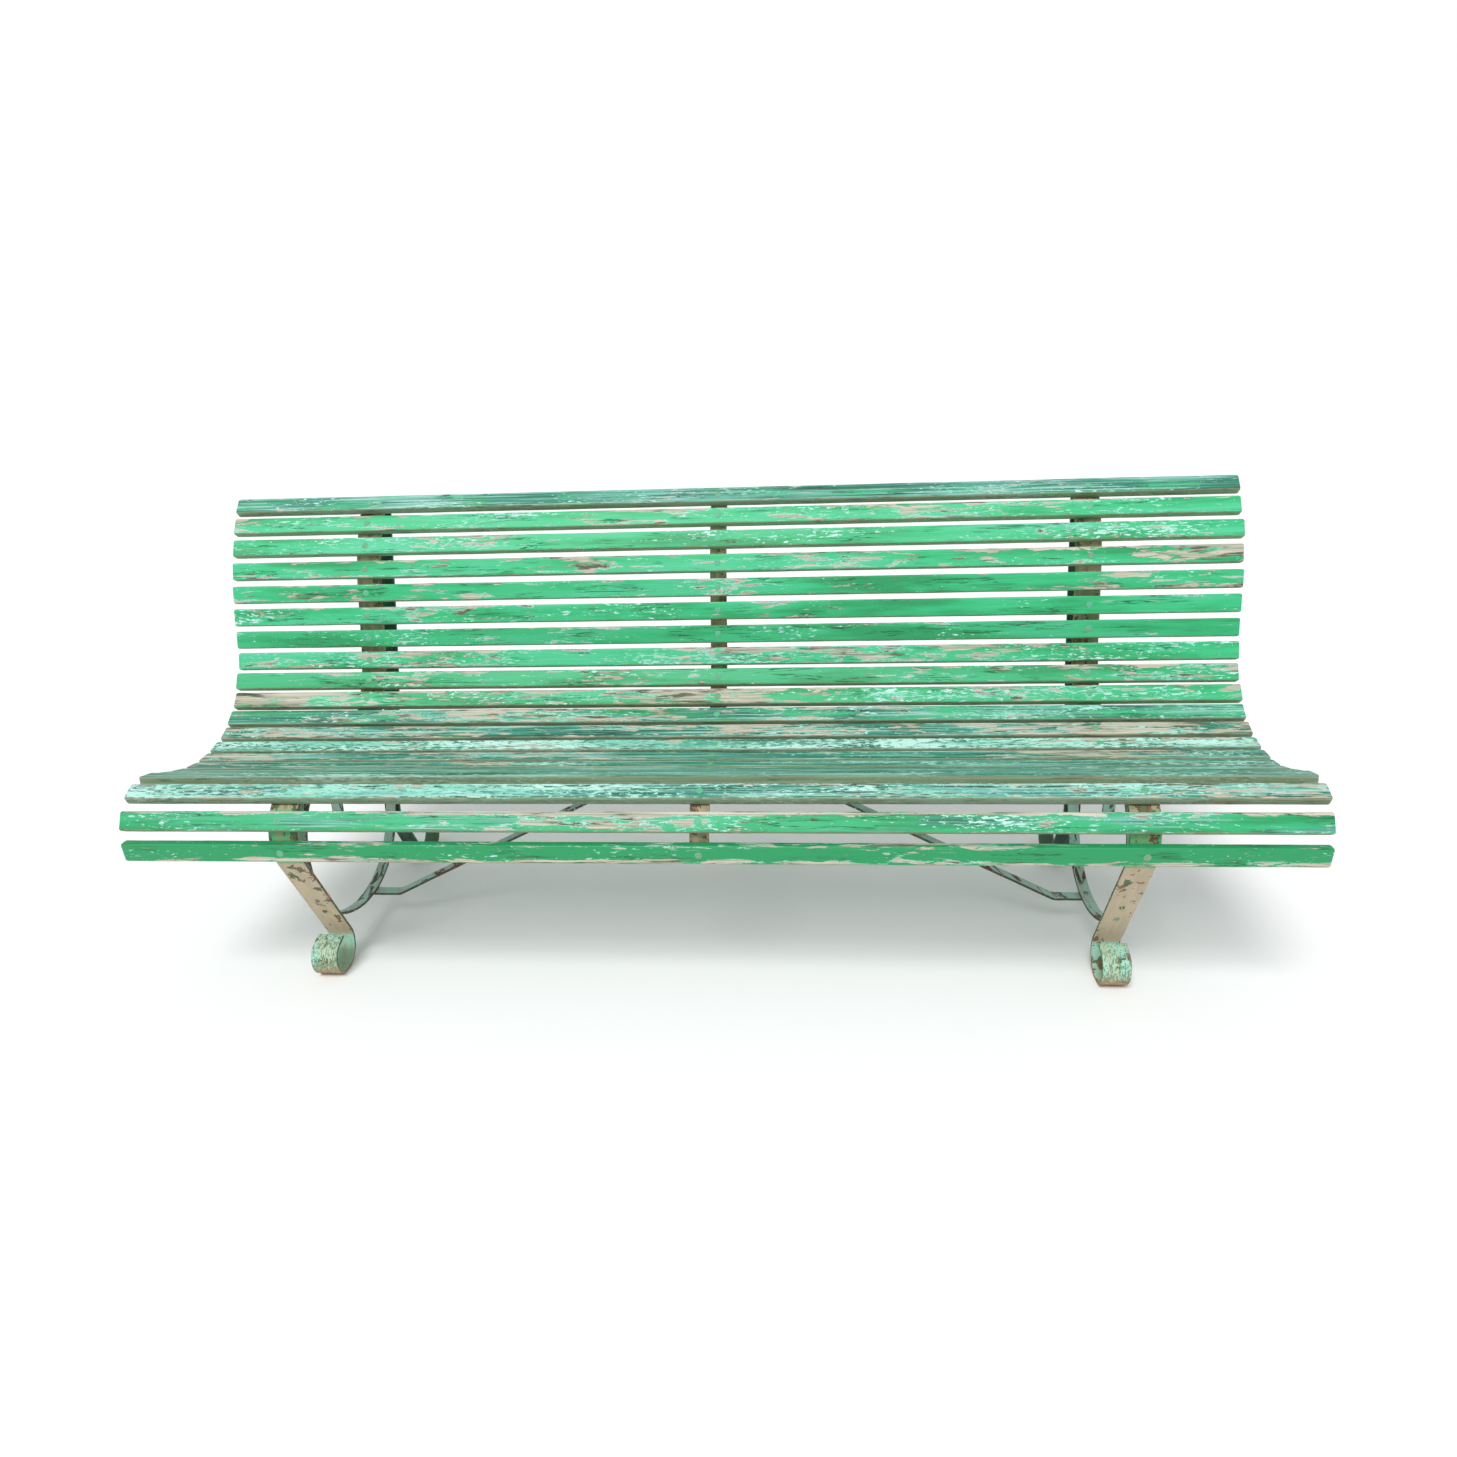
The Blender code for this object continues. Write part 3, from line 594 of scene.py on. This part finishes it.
# centre lines of one side frame, and its rivets as place, heading and grip
def sideProfiles(paths):
    top, topHeading = paths["top"], paths["topHeading"]
    seat = paths["backAndSeat"] + paths["roll"]
    leg, legHeading = walk(top, topHeading, seat, pathLength(seat))
    legRun = runToGround(leg, legHeading, paths["frontFoot"], ironShape["strap"][1])
    lines = {"strap": trace(top, topHeading, seat + [("run", legRun)] + paths["frontFoot"])}

    inset = lapOffset("strap", "rearLeg")
    lap, lapHeading = walk(top, topHeading, seat, paths["rearLap"])
    start = beside(lap, lapHeading, -inset)
    upper = [("bend", seat[0][1] - inset, topHeading - lapHeading)] + paths["rearUpper"]
    knee, kneeHeading = walk(start, lapHeading - 180, upper, pathLength(upper))
    shin, shinHeading = walk(knee, kneeHeading, paths["knee"], pathLength(paths["knee"]))
    shinRun = runToGround(shin, shinHeading, paths["rearFoot"], ironShape["rearLeg"][1])
    moves = upper + paths["knee"] + [("run", shinRun)] + paths["rearFoot"]
    lines["rearLeg"] = trace(start, lapHeading - 180, moves)

    braceInset = lapOffset("strap", "brace")
    front = beside(leg, legHeading, -braceInset)
    frontEnd = atHeight(front, legHeading, paths["bowFrontHeight"])
    leave = paths["bowLeave"]
    leaveEnd, leaveHeading = walk(frontEnd, legHeading, leave, pathLength(leave))
    rear = beside(knee, kneeHeading, lapOffset("rearLeg", "brace"))
    rearEnd = atHeight(rear, kneeHeading, paths["bowRearHeight"] + paths["bowLap"])
    bowUp = rearEnd + paths["bowLap"] * unit(kneeHeading)
    bow = straight(frontEnd - paths["bowLap"] * unit(legHeading), frontEnd)
    bow += trace(frontEnd, legHeading, leave)[1:]
    bow += sweepBetween(leaveEnd, leaveHeading, bowUp, kneeHeading - 180, paths["bowReach"])[1:]
    lines["bow"] = bow + straight(bowUp, rearEnd)[1:]

    scrollEnd = atHeight(front, legHeading, paths["scrollLegHeight"])
    under, underHeading = walk(top, topHeading, seat, paths["scrollSeatAt"])
    contact = beside(under, underHeading, -braceInset)
    flat = paths["scrollFlat"] * unit(underHeading)
    scroll = straight(scrollEnd + paths["scrollLap"] * unit(legHeading), scrollEnd)
    scroll += sweepBetween(scrollEnd, legHeading - 180, contact + flat, underHeading - 180,
                           paths["scrollReach"])[1:]
    lines["scroll"] = scroll + trace(contact - flat, underHeading - 180, paths["scrollCurl"])

    lapped, lappedHeading = walk(top, topHeading, seat, paths["topRivetAt"])
    strap, rearLeg, brace = (ironShape[name][1] for name in ("strap", "rearLeg", "brace"))
    legShift = braceInset - stackMiddle("brace")
    rearShift = lapOffset("rearLeg", "brace") - stackMiddle("brace")
    bowRivet = frontEnd - paths["bowLap"] / 2 * unit(legHeading)
    scrollRivet = scrollEnd + paths["scrollLap"] / 2 * unit(legHeading)
    rearRivet = rearEnd + paths["bowLap"] / 2 * unit(kneeHeading)
    rivets = [
        (beside(lapped, lappedHeading, -stackMiddle("rearLeg")), lappedHeading, strap + rearLeg),
        (beside(bowRivet, legHeading, legShift), legHeading, strap + brace),
        (beside(scrollRivet, legHeading, legShift), legHeading, strap + brace),
        (beside(under, underHeading, -stackMiddle("brace")), underHeading, strap + brace),
        (beside(rearRivet, kneeHeading, -rearShift), kneeHeading, rearLeg + brace),
    ]
    return lines, rivets


def placed(x, point):
    return Vector((x, point[0] - ironShape["middleY"], point[1]))


def heightOn(line, y):
    heights = []
    for first, second in zip(line, line[1:]):
        if min(first[0], second[0]) <= y <= max(first[0], second[0]) and first[0] != second[0]:
            share = (y - first[0]) / (second[0] - first[0])
            heights.append(first[1] + share * (second[1] - first[1]))
    return min(heights)


# centre line of the stretcher across the bench, and its rivets
def stretcherLine(paths, bow):
    seat = paths["backAndSeat"] + paths["roll"]
    under, heading = walk(paths["top"], paths["topHeading"], seat, paths["stretcherStrapAt"])
    top = beside(under, heading, -lapOffset("centreStrap", "brace"))
    lean, footY = paths["stretcherLean"], paths["stretcherFootY"]
    foot = Vector((footY, heightOn(bow, footY))) - lapOffset("brace", "brace") * unit(90 + lean)
    endX = ironShape["frameX"] + ironShape["brace"][0] / 2
    slope = (Vector((paths["stretcherTopHalf"], top[1]))
             - Vector((paths["stretcherCornerX"], foot[1]))).normalized()
    turn = Vector((-1, 0)).angle(slope)
    cut = paths["stretcherBend"] * turn / 2
    line = straight(Vector((endX, foot[1])), Vector((paths["stretcherCornerX"] + cut, foot[1])))
    cornerSteps = 6
    corners = ((Vector((paths["stretcherCornerX"], foot[1])), Vector((-1, 0)), slope),
               (Vector((paths["stretcherTopHalf"], top[1])), slope, Vector((-1, 0))))
    for index, (corner, arriving, leaving) in enumerate(corners):
        first, last = corner - cut * arriving, corner + cut * leaving
        if index == 1:
            line += straight(line[-1], first)[1:]
        for i in range(1, cornerSteps + 1):
            t = i / cornerSteps
            line.append(first * (1 - t) ** 2 + corner * 2 * t * (1 - t) + last * t ** 2)
    line += straight(line[-1], Vector((0.0, top[1])))[1:]
    full = line + [Vector((-point[0], point[1])) for point in reversed(line[:-1])]
    rise = top[1] - foot[1]
    points = [placed(p[0], (foot[0] + (p[1] - foot[1]) / rise * (top[0] - foot[0]), p[1]))
              for p in full]
    lift = lapOffset("brace", "brace") / 2 * unit(90 + lean)
    brace = ironShape["brace"][1]
    rivets = [(placed(x, foot + lift), 180 + lean, 2 * brace)
              for x in (-ironShape["frameX"], ironShape["frameX"])]
    middle = placed(0.0, beside(under, heading, -stackMiddle("brace")))
    rivets.append((middle, heading, ironShape["centreStrap"][1] + brace))
    return points, rivets


def keepOnPoints(mesh, name, kind, field, values):
    mesh.attributes.new(name, kind, "POINT").data.foreach_set(field, values)


# a flat bar with eased edges and a slightly uneven forged surface
def sweepBar(name, points, across, size, coat, zones, seed):
    outline = roundedSection(size[0], size[1], ironShape["edgeRadius"], 3)
    count = len(outline)
    distance = [0.0]
    for first, second in zip(points, points[1:]):
        distance.append(distance[-1] + (second - first).length)
    taper, inset, last = ironShape["endTaper"], ironShape["endRound"], len(points) - 1
    stations = [(0, taper)] + [(i, 1.0) for i in range(len(points))] + [(last, taper)]
    verts, faces, bar, zone = [], [], [], []
    for number, (i, shrink) in enumerate(stations):
        tangent = (points[min(i + 1, last)] - points[max(i - 1, 0)]).normalized()
        outward = across.cross(tangent).normalized()
        centre = points[i]
        if number == 1:
            centre = centre + tangent * inset
        if number == len(stations) - 2:
            centre = centre - tangent * inset
        for a, b in outline:
            spot = Vector((a * 30 + seed, distance[i] * 28, b * 30))
            lump = noise.noise_vector(spot) * ironShape["forging"]
            narrowed = 1 - (1 - shrink) * 0.35
            verts.append(centre + across * (a * narrowed + lump.x)
                         + outward * (b * shrink + lump.y))
            bar.append((a, distance[i], b))
            zone.append(zones(distance[i]))
    for ring in range(len(stations) - 1):
        for k in range(count):
            near, far = ring * count, (ring + 1) * count
            faces.append((near + k, near + (k + 1) % count, far + (k + 1) % count, far + k))
    lastRing = (len(stations) - 1) * count
    faces.append(tuple(reversed(range(count))))
    faces.append(tuple(range(lastRing, lastRing + count)))
    mesh = bpy.data.meshes.new(name)
    mesh.from_pydata(verts, [], faces)
    keepOnPoints(mesh, "bar", "FLOAT_VECTOR", "vector", [c for v in bar for c in v])
    keepOnPoints(mesh, "zone", "FLOAT", "value", zone)
    mesh.shade_smooth()
    for face in mesh.polygons[-2:]:
        face.use_smooth = False
    mesh.materials.append(coat)
    return finishPiece(name, mesh)


ironLook = {
    "strap": {
        "coats": ((srgb(184, 160, 126), srgb(140, 140, 106)),
                  (srgb(92, 186, 124), srgb(150, 164, 118)),
                  (srgb(196, 178, 150), srgb(186, 169, 142)),
                  (srgb(168, 222, 202), srgb(184, 206, 176))),
        "under": srgb(92, 116, 80), "rust": srgb(112, 90, 66), "brightRust": srgb(176, 132, 92),
        "edge": srgb(58, 110, 76), "dark": srgb(34, 56, 42), "chips": 0.190, "edgeWear": 0.10,
        "specks": 0.75, "rough": 0.55, "dirtTop": 0.048, "chipSize": (18.0, 34.0, 18.0),
        "outerSide": 1.0,
    },
    # the rear leg's colours are a darker copy of the strap's: dark green paint with painted shade
    # for the leg behind the back and under the seat; its foot gets the lighter second coat
    "leg": {
        "coats": ((srgb(30, 62, 52), srgb(46, 86, 70)), (srgb(78, 118, 98), srgb(96, 122, 98))),
        "under": srgb(70, 110, 86), "rust": srgb(66, 54, 42), "brightRust": srgb(110, 84, 60),
        "edge": srgb(62, 112, 82), "dark": srgb(20, 34, 28), "chips": 0.07, "edgeWear": 0.10,
        "specks": 0.6, "rough": 0.6, "dirtTop": 0.040, "chipSize": (30.0, 26.0, 30.0),
        "outerSide": -1.0,
    },
    "brace": {
        "coats": ((srgb(166, 210, 196), srgb(176, 192, 178)),),
        "under": srgb(92, 100, 86), "rust": srgb(96, 72, 62), "brightRust": srgb(124, 96, 78),
        "edge": srgb(70, 74, 58), "dark": srgb(44, 50, 44), "chips": 0.21, "edgeWear": 0.10,
        "specks": 0.5, "rough": 0.6, "dirtTop": 0.010, "chipSize": (30.0, 16.0, 30.0),
        "outerSide": 1.0,
    },
}

# how finely each pattern runs over the bars, and where the coats change along them
ironGrain = {
    "cloud": (30.0, 14.0, 30.0), "ragged": (90.0, 60.0, 90.0), "fine": (420.0, 420.0, 420.0),
    "coarse": (150.0, 150.0, 150.0), "area": (7.0, 7.0, 7.0), "sideShift": (1.3, 0.0, 0.0),
    "strapStarts": (0.930, 1.040, 1.300), "strapBlend": 0.02, "legFootAt": 0.99,
    "plainZone": 0.25, "bareRough": 0.9, "bumpDepth": 0.0011,
}


def makeIronPaint(name, look):
    material, tree, shader = newMaterial(name)
    bar = readAttribute(tree, "bar", 1)
    zone = readAttribute(tree, "zone")
    through = separate(tree, bar)[2]
    objectPlace = addNode(tree, "ShaderNodeTexCoord").outputs["Object"]
    place = vectorCalc(tree, "ADD", bar,
                       vectorCalc(tree, "MULTIPLY", objectPlace, ironGrain["sideShift"]))
    cloud = noiseValue(tree, place, ironGrain["cloud"], detail=4.0)
    alt = between(tree, cloud, 0.42, 0.60)
    ragged = noiseValue(tree, place, ironGrain["ragged"], detail=6.0, roughness=0.6)
    fine = noiseValue(tree, place, ironGrain["fine"], detail=4.0, roughness=0.6)
    border = timesPlus(tree, ragged, 0.5, zone)
    colour = blend(tree, alt, *look["coats"][0])
    for number, pair in enumerate(look["coats"][1:]):
        reached = between(tree, border, number + 0.72, number + 0.78)
        colour = blend(tree, reached, colour, blend(tree, alt, *pair))
    lastZone = max(1, len(look["coats"]) - 1)
    dusty = times(tree, between(tree, fine, 0.35, 0.75), 0.22)
    colour = blend(tree, dusty, colour, look["under"])

    # the narrow edges keep an older, darker coat, which shows in ragged steps
    thin = between(tree, calc(tree, "ABSOLUTE", through), 0.0022, 0.0030, 1.0, 0.0)
    stepped = times(tree, thin, between(tree, ragged, 0.34, 0.44))
    colour = blend(tree, stepped, colour, look["edge"])
    amount = timesPlus(tree, thin, look["edgeWear"], look["chips"])
    chips = useGroup(tree, flakingPaint, {
        "Vector": place, "Amount": amount, "Patch Size": look["chipSize"],
        "Area Size": ironGrain["area"], "Rim": 0.022})
    colour = blend(tree, chips["Rim"], colour, look["dark"])
    rusty = blend(tree, between(tree, ragged, 0.46, 0.62), look["rust"], look["brightRust"])
    rusty = blend(tree, between(tree, cloud, 0.50, 0.44), rusty, look["under"])
    colour = blend(tree, chips["Bare"], colour, rusty)

    # rust specks on the foot, and grime where it stands
    coarse = noiseValue(tree, place, ironGrain["coarse"], detail=5.0, roughness=0.7)
    height = separate(tree, objectPlace)[2]
    lowness = between(tree, height, 0.110, 0.012)
    speckle = timesPlus(tree, lowness, 0.09, coarse)
    specks = times(tree, between(tree, speckle, 0.555, 0.585), look["specks"])
    specks = times(tree, specks, between(tree, border, lastZone - 0.5, lastZone - 0.1))
    outward = times(tree, through, look["outerSide"])
    outside = between(tree, outward, -0.003, 0.001, 0.2, 1.0)
    specks = times(tree, specks, outside)
    colour = blend(tree, specks, colour, look["under"])
    few = between(tree, coarse, 0.69, 0.71)
    colour = blend(tree, few, colour, look["rust"])
    low = timesPlus(tree, ragged, -0.030, height)
    grime = times(tree, between(tree, low, look["dirtTop"] - 0.018, -0.008), 0.8)
    grime = times(tree, grime, outside)
    colour = blend(tree, grime, colour, look["brightRust"])

    bare = calc(tree, "MAXIMUM", chips["Bare"], specks)
    rough = timesPlus(tree, bare, ironGrain["bareRough"] - look["rough"], look["rough"],
                      clamp=True)
    relief = timesPlus(tree, bare, -0.5, 1.0)
    relief = timesPlus(tree, ragged, 0.2, relief)
    relief = timesPlus(tree, fine, 0.22, relief)
    normal = bumpNormal(tree, relief, ironGrain["bumpDepth"], 0.7)
    finishPaint(tree, shader, colour, rough, normal)
    return material


# 0 along the back and the seat, 1 over the front roll, 2 down the leg, 3 round the foot
def strapZones(length):
    return sum(min(1.0, max(0.0, (length - start) / ironGrain["strapBlend"]))
               for start in ironGrain["strapStarts"])


# 0 along the rear leg's painted-shade part, 1 over its lighter foot
def legZones(length):
    return 1.0 if length > ironGrain["legFootAt"] else 0.0


def plainZones(_):
    return ironGrain["plainZone"]


def addIron():
    lines, rivets = sideProfiles(barPaths)
    coats = {name: makeIronPaint(name + "Iron", look) for name, look in ironLook.items()}
    across = Vector((1, 0, 0))
    kinds = (("sideStrap", "strap", "strap", "strap", "side_strap", "painted_strap", strapZones),
             ("rearLeg", "rearLeg", "rearLeg", "leg", "rear_leg", "painted_leg", legZones),
             ("legBow", "bow", "brace", "brace", "leg_bow", "painted_brace", plainZones),
             ("seatScroll", "scroll", "brace", "brace", "seat_scroll", "painted_brace",
              plainZones))
    allRivets = []
    sides = (("left", -ironShape["frameX"]), ("right", ironShape["frameX"]))
    for index, (side, x) in enumerate(sides):
        for name, line, size, coat, node, slot, zones in kinds:
            points = [placed(x, point) for point in lines[line]]
            piece = sweepBar(f"{name}_{side}", points, across, ironShape[size], coats[coat], zones,
                             index * 11.0)
            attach(piece, "root")
            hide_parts(f"{node}_{side}")
        allRivets += [(placed(x, point), heading, grip) for point, heading, grip in rivets]

    seat = barPaths["backAndSeat"] + barPaths["roll"]
    cut = barPaths["centreEnd"] - pathLength(barPaths["backAndSeat"])
    rollPart = [("bend", seat[5][1], seat[5][2] * cut / moveLength(seat[5]))]
    centre = trace(barPaths["top"], barPaths["topHeading"], barPaths["backAndSeat"] + rollPart)
    piece = sweepBar("centreStrap", [placed(0.0, point) for point in centre], across,
                     ironShape["centreStrap"], coats["strap"], plainZones, 5.0)
    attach(piece, "root")
    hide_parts("centre_strap")
    points, more = stretcherLine(barPaths, lines["bow"])
    lean = radians(barPaths["stretcherLean"])
    wide = Vector((0, cos(lean), sin(lean)))
    piece = sweepBar("stretcherBar", points, wide, ironShape["brace"], coats["brace"],
                     plainZones, 8.0)
    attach(piece, "root")
    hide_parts("stretcher")
    print("iron bars made")
    return allRivets + more


rivetPlaces = addIron()

fastenerShape = {
    "boltHead": (0.0070, 0.0007), "nutAcross": 0.011, "nutHeight": 0.005,
    "boltTail": (0.003, 0.0085), "rivetHead": (0.0052, 0.0030), "rivetLift": 0.0003,
    "sideStrapFace": 0.0098, "centreStrapFace": 0.0103, "rearLegGap": 0.0008,
}

fastenerLook = {
    "bolt": (srgb(82, 184, 142), srgb(128, 150, 118), -0.02),
    "rivet": (srgb(120, 150, 124), srgb(104, 76, 56), 0.04),
    "speckScale": (240.0, 240.0, 240.0), "toneScale": (11.0, 11.0, 11.0), "bumpDepth": 0.0006,
}


def makeFastenerPaint(name, paint, rust, share):
    material, tree, shader = newMaterial(name)
    place = addNode(tree, "ShaderNodeTexCoord").outputs["Object"]
    speck = noiseValue(tree, place, fastenerLook["speckScale"], detail=5.0, roughness=0.65)
    tone = noiseValue(tree, place, fastenerLook["toneScale"], detail=2.0)
    tone = timesPlus(tree, tone, 0.5, share)
    bare = between(tree, calc(tree, "ADD", speck, tone), 0.74, 0.80)
    colour = blend(tree, bare, paint, rust)
    rough = timesPlus(tree, bare, 0.35, 0.5)
    normal = bumpNormal(tree, timesPlus(tree, bare, -0.5, speck), fastenerLook["bumpDepth"], 0.6)
    finishPaint(tree, shader, colour, rough, normal)
    return material


# places a domed head, or a square nut with its bolt's end, on every point
def makeFastenerTree(name, withNut):
    tree = bpy.data.node_groups.new(name, "GeometryNodeTree")
    newSockets(tree, "INPUT", (
        ("Geometry", "Geometry", None), ("Size", "Float", 0.01),
        ("Height", "Float", 0.002), ("Tail Radius", "Float", 0.003),
        ("Tail Length", "Float", 0.008), ("Finish", "Material", None)))
    newSockets(tree, "OUTPUT", (("Geometry", "Geometry", None),))
    given = addNode(tree, "NodeGroupInput").outputs

    def upBy(length):
        return combine(tree, 0.0, 0.0, times(tree, length, 0.5))

    if withNut:
        corner = times(tree, given["Size"], 0.7071)
        block = geometryOut(tree, "MeshCylinder", {
            "Vertices": 4, "Radius": corner, "Depth": given["Height"]})
        turned = geometryOut(tree, "Transform", {
            "Geometry": block, "Rotation": (0.0, 0.0, pi / 4),
            "Translation": upBy(given["Height"])})
        tail = geometryOut(tree, "MeshCylinder", {
            "Vertices": 12, "Radius": given["Tail Radius"], "Depth": given["Tail Length"]})
        tail = geometryOut(tree, "Transform", {
            "Geometry": tail, "Translation": upBy(given["Tail Length"])})
        shape = tree.nodes.new("GeometryNodeJoinGeometry")
        tree.links.new(turned, shape.inputs[0])
        tree.links.new(tail, shape.inputs[0])
        shape = shape.outputs[0]
    else:
        ball = geometryOut(tree, "MeshUVSphere", {"Segments": 20, "Rings": 10, "Radius": 1.0})
        dome = combine(tree, given["Size"], given["Size"], given["Height"])
        shape = geometryOut(tree, "Transform", {"Geometry": ball, "Scale": dome})
        shape = geometryOut(tree, "SetShadeSmooth", {"Geometry": shape})
    axis = geometryOut(tree, "InputNamedAttribute", {"Name": "axis"}, data_type="FLOAT_VECTOR")
    turn = nodeOut(tree, "FunctionNodeAlignRotationToVector", {"Vector": axis}, axis="Z")
    row = geometryOut(tree, "InstanceOnPoints", {
        "Points": given["Geometry"], "Instance": shape, "Rotation": turn})
    row = geometryOut(tree, "RealizeInstances", {"Geometry": row})
    row = geometryOut(tree, "SetMaterial", {"Geometry": row, "Material": given["Finish"]})
    tree.links.new(row, addNode(tree, "NodeGroupOutput").inputs[0])
    return tree


def pointMesh(name, places):
    mesh = bpy.data.meshes.new(name)
    mesh.from_pydata([place for place, _ in places], [], [])
    keepOnPoints(mesh, "axis", "FLOAT_VECTOR", "vector",
                 [value for _, axis in places for value in axis])
    return mesh


def addFasteners(rivets):
    heads, nuts, domes = [], [], []
    shape = fastenerShape
    for name in slatNames:
        centre, normal = slatPose(cadNodes[name])
        for x in (-ironShape["frameX"], 0.0, ironShape["frameX"]):
            middle = Vector((x, centre.y, centre.z))
            if x:
                back = shape["sideStrapFace"] + ironShape["strap"][1]
            else:
                back = shape["centreStrapFace"] + ironShape["centreStrap"][1]
            if name == "slat_01" and x:
                back += ironShape["rearLeg"][1] + shape["rearLegGap"]
            heads.append((middle + normal * slatShape["thickness"] / 2, normal))
            nuts.append((middle - normal * back, -normal))
    for place, heading, grip in rivets:
        side = Vector((0, sin(radians(heading)), -cos(radians(heading))))
        for facing in (side, -side):
            domes.append((place + facing * (grip + shape["rivetLift"]) / 2, facing))
    headTree, nutTree = makeFastenerTree("domedHeads", False), makeFastenerTree("squareNuts", True)
    boltPaint = makeFastenerPaint("boltPaint", *fastenerLook["bolt"])
    rivetPaint = makeFastenerPaint("rivetPaint", *fastenerLook["rivet"])
    headInputs, rivetInputs = (
        {"Size": size, "Height": height, "Finish": finish}
        for (size, height), finish in ((shape["boltHead"], boltPaint),
                                       (shape["rivetHead"], rivetPaint)))
    nutInputs = {"Size": shape["nutAcross"], "Height": shape["nutHeight"],
                 "Tail Radius": shape["boltTail"][0], "Tail Length": shape["boltTail"][1],
                 "Finish": rivetPaint}
    pieces = (
        ("slatBoltHeads", heads, headTree, headInputs, "slat_bolt", "painted_fastener"),
        ("slatNuts", nuts, nutTree, nutInputs, "slat_nut", "painted_fastener"),
        ("frameRivets", domes, headTree, rivetInputs, "rivet", "rusty_rivet"))
    for name, places, tree, inputs, prefix, slot in pieces:
        piece = bakeNodes(name, pointMesh(name + "Points", places), tree, inputs)
        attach(piece, "root")
        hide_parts(*sorted(node for node in cadNodes if node.startswith(prefix)))
    print("fasteners made:", len(heads), "bolts,", len(rivets), "rivets")


addFasteners(rivetPlaces)

stageLook = {
    "floorColour": srgb(251, 251, 251), "skyColour": srgb(252, 254, 255), "skyStrength": 0.64,
    "backdrop": 1.0, "sunTurn": (34.0, 0.0, -18.0), "sunAngle": 24.0, "sunStrength": 1.9,
    "floorSize": 30.0, "floorRough": 0.9,
}

viewSettings = {
    "place": (0.2030, -1.9869, 1.1540), "heading": 5.162, "pitch": 24.975, "roll": -2.088,
    "lens": 24.861, "sensor": 36.0, "shiftUp": 0.0611,
}


def addStage(look):
    mesh = bpy.data.meshes.new("studioFloor")
    size = look["floorSize"]
    mesh.from_pydata([(-size, -size, 0), (size, -size, 0), (size, size, 0), (-size, size, 0)], [],
                     [(0, 1, 2, 3)])
    floor = addObject("studioFloor", mesh)
    material, _, shader = newMaterial("floorPaper")
    shader.inputs["Base Color"].default_value = look["floorColour"]
    shader.inputs["Roughness"].default_value = look["floorRough"]
    mesh.materials.append(material)
    world = bpy.data.worlds.new("studioAir")
    world.use_nodes = True
    tree = world.node_tree
    sky = tree.nodes["Background"]
    sky.inputs["Color"].default_value = look["skyColour"]
    sky.inputs["Strength"].default_value = look["skyStrength"]
    backdrop = addNode(tree, "ShaderNodeBackground", {"Color": (look["backdrop"],) * 3 + (1.0,)})
    seen = addNode(tree, "ShaderNodeLightPath").outputs["Is Camera Ray"]
    mixed = nodeOut(tree, "ShaderNodeMixShader", {
        0: seen, 1: sky.outputs[0], 2: backdrop.outputs[0]})
    tree.links.new(mixed, tree.nodes["World Output"].inputs["Surface"])
    bpy.context.scene.world = world
    light = bpy.data.lights.new("sunLight", "SUN")
    light.energy = look["sunStrength"]
    light.angle = radians(look["sunAngle"])
    lamp = addObject("sunLight", light)
    lamp.rotation_euler = [radians(turn) for turn in look["sunTurn"]]


def addCamera(view):
    heading, pitch, roll = (radians(view[name]) for name in ("heading", "pitch", "roll"))
    forward = Vector((-sin(heading) * cos(pitch), cos(heading) * cos(pitch), -sin(pitch)))
    right = Vector((cos(heading), sin(heading), 0))
    up = right.cross(forward)
    turnedRight = cos(roll) * right + sin(roll) * up
    turnedUp = -sin(roll) * right + cos(roll) * up
    data = bpy.data.cameras.new("viewCamera")
    data.lens = view["lens"]
    data.sensor_width = view["sensor"]
    data.shift_y = view["shiftUp"]
    camera = addObject("viewCamera", data)
    rotation = Matrix((turnedRight, turnedUp, -forward)).transposed()
    camera.matrix_world = Matrix.Translation(Vector(view["place"])) @ rotation.to_4x4()
    bpy.context.scene.camera = camera


addStage(stageLook)
addCamera(viewSettings)
bpy.context.scene.view_settings.view_transform = "Standard"
print("stage and camera set")

bpy.context.view_layer.update()
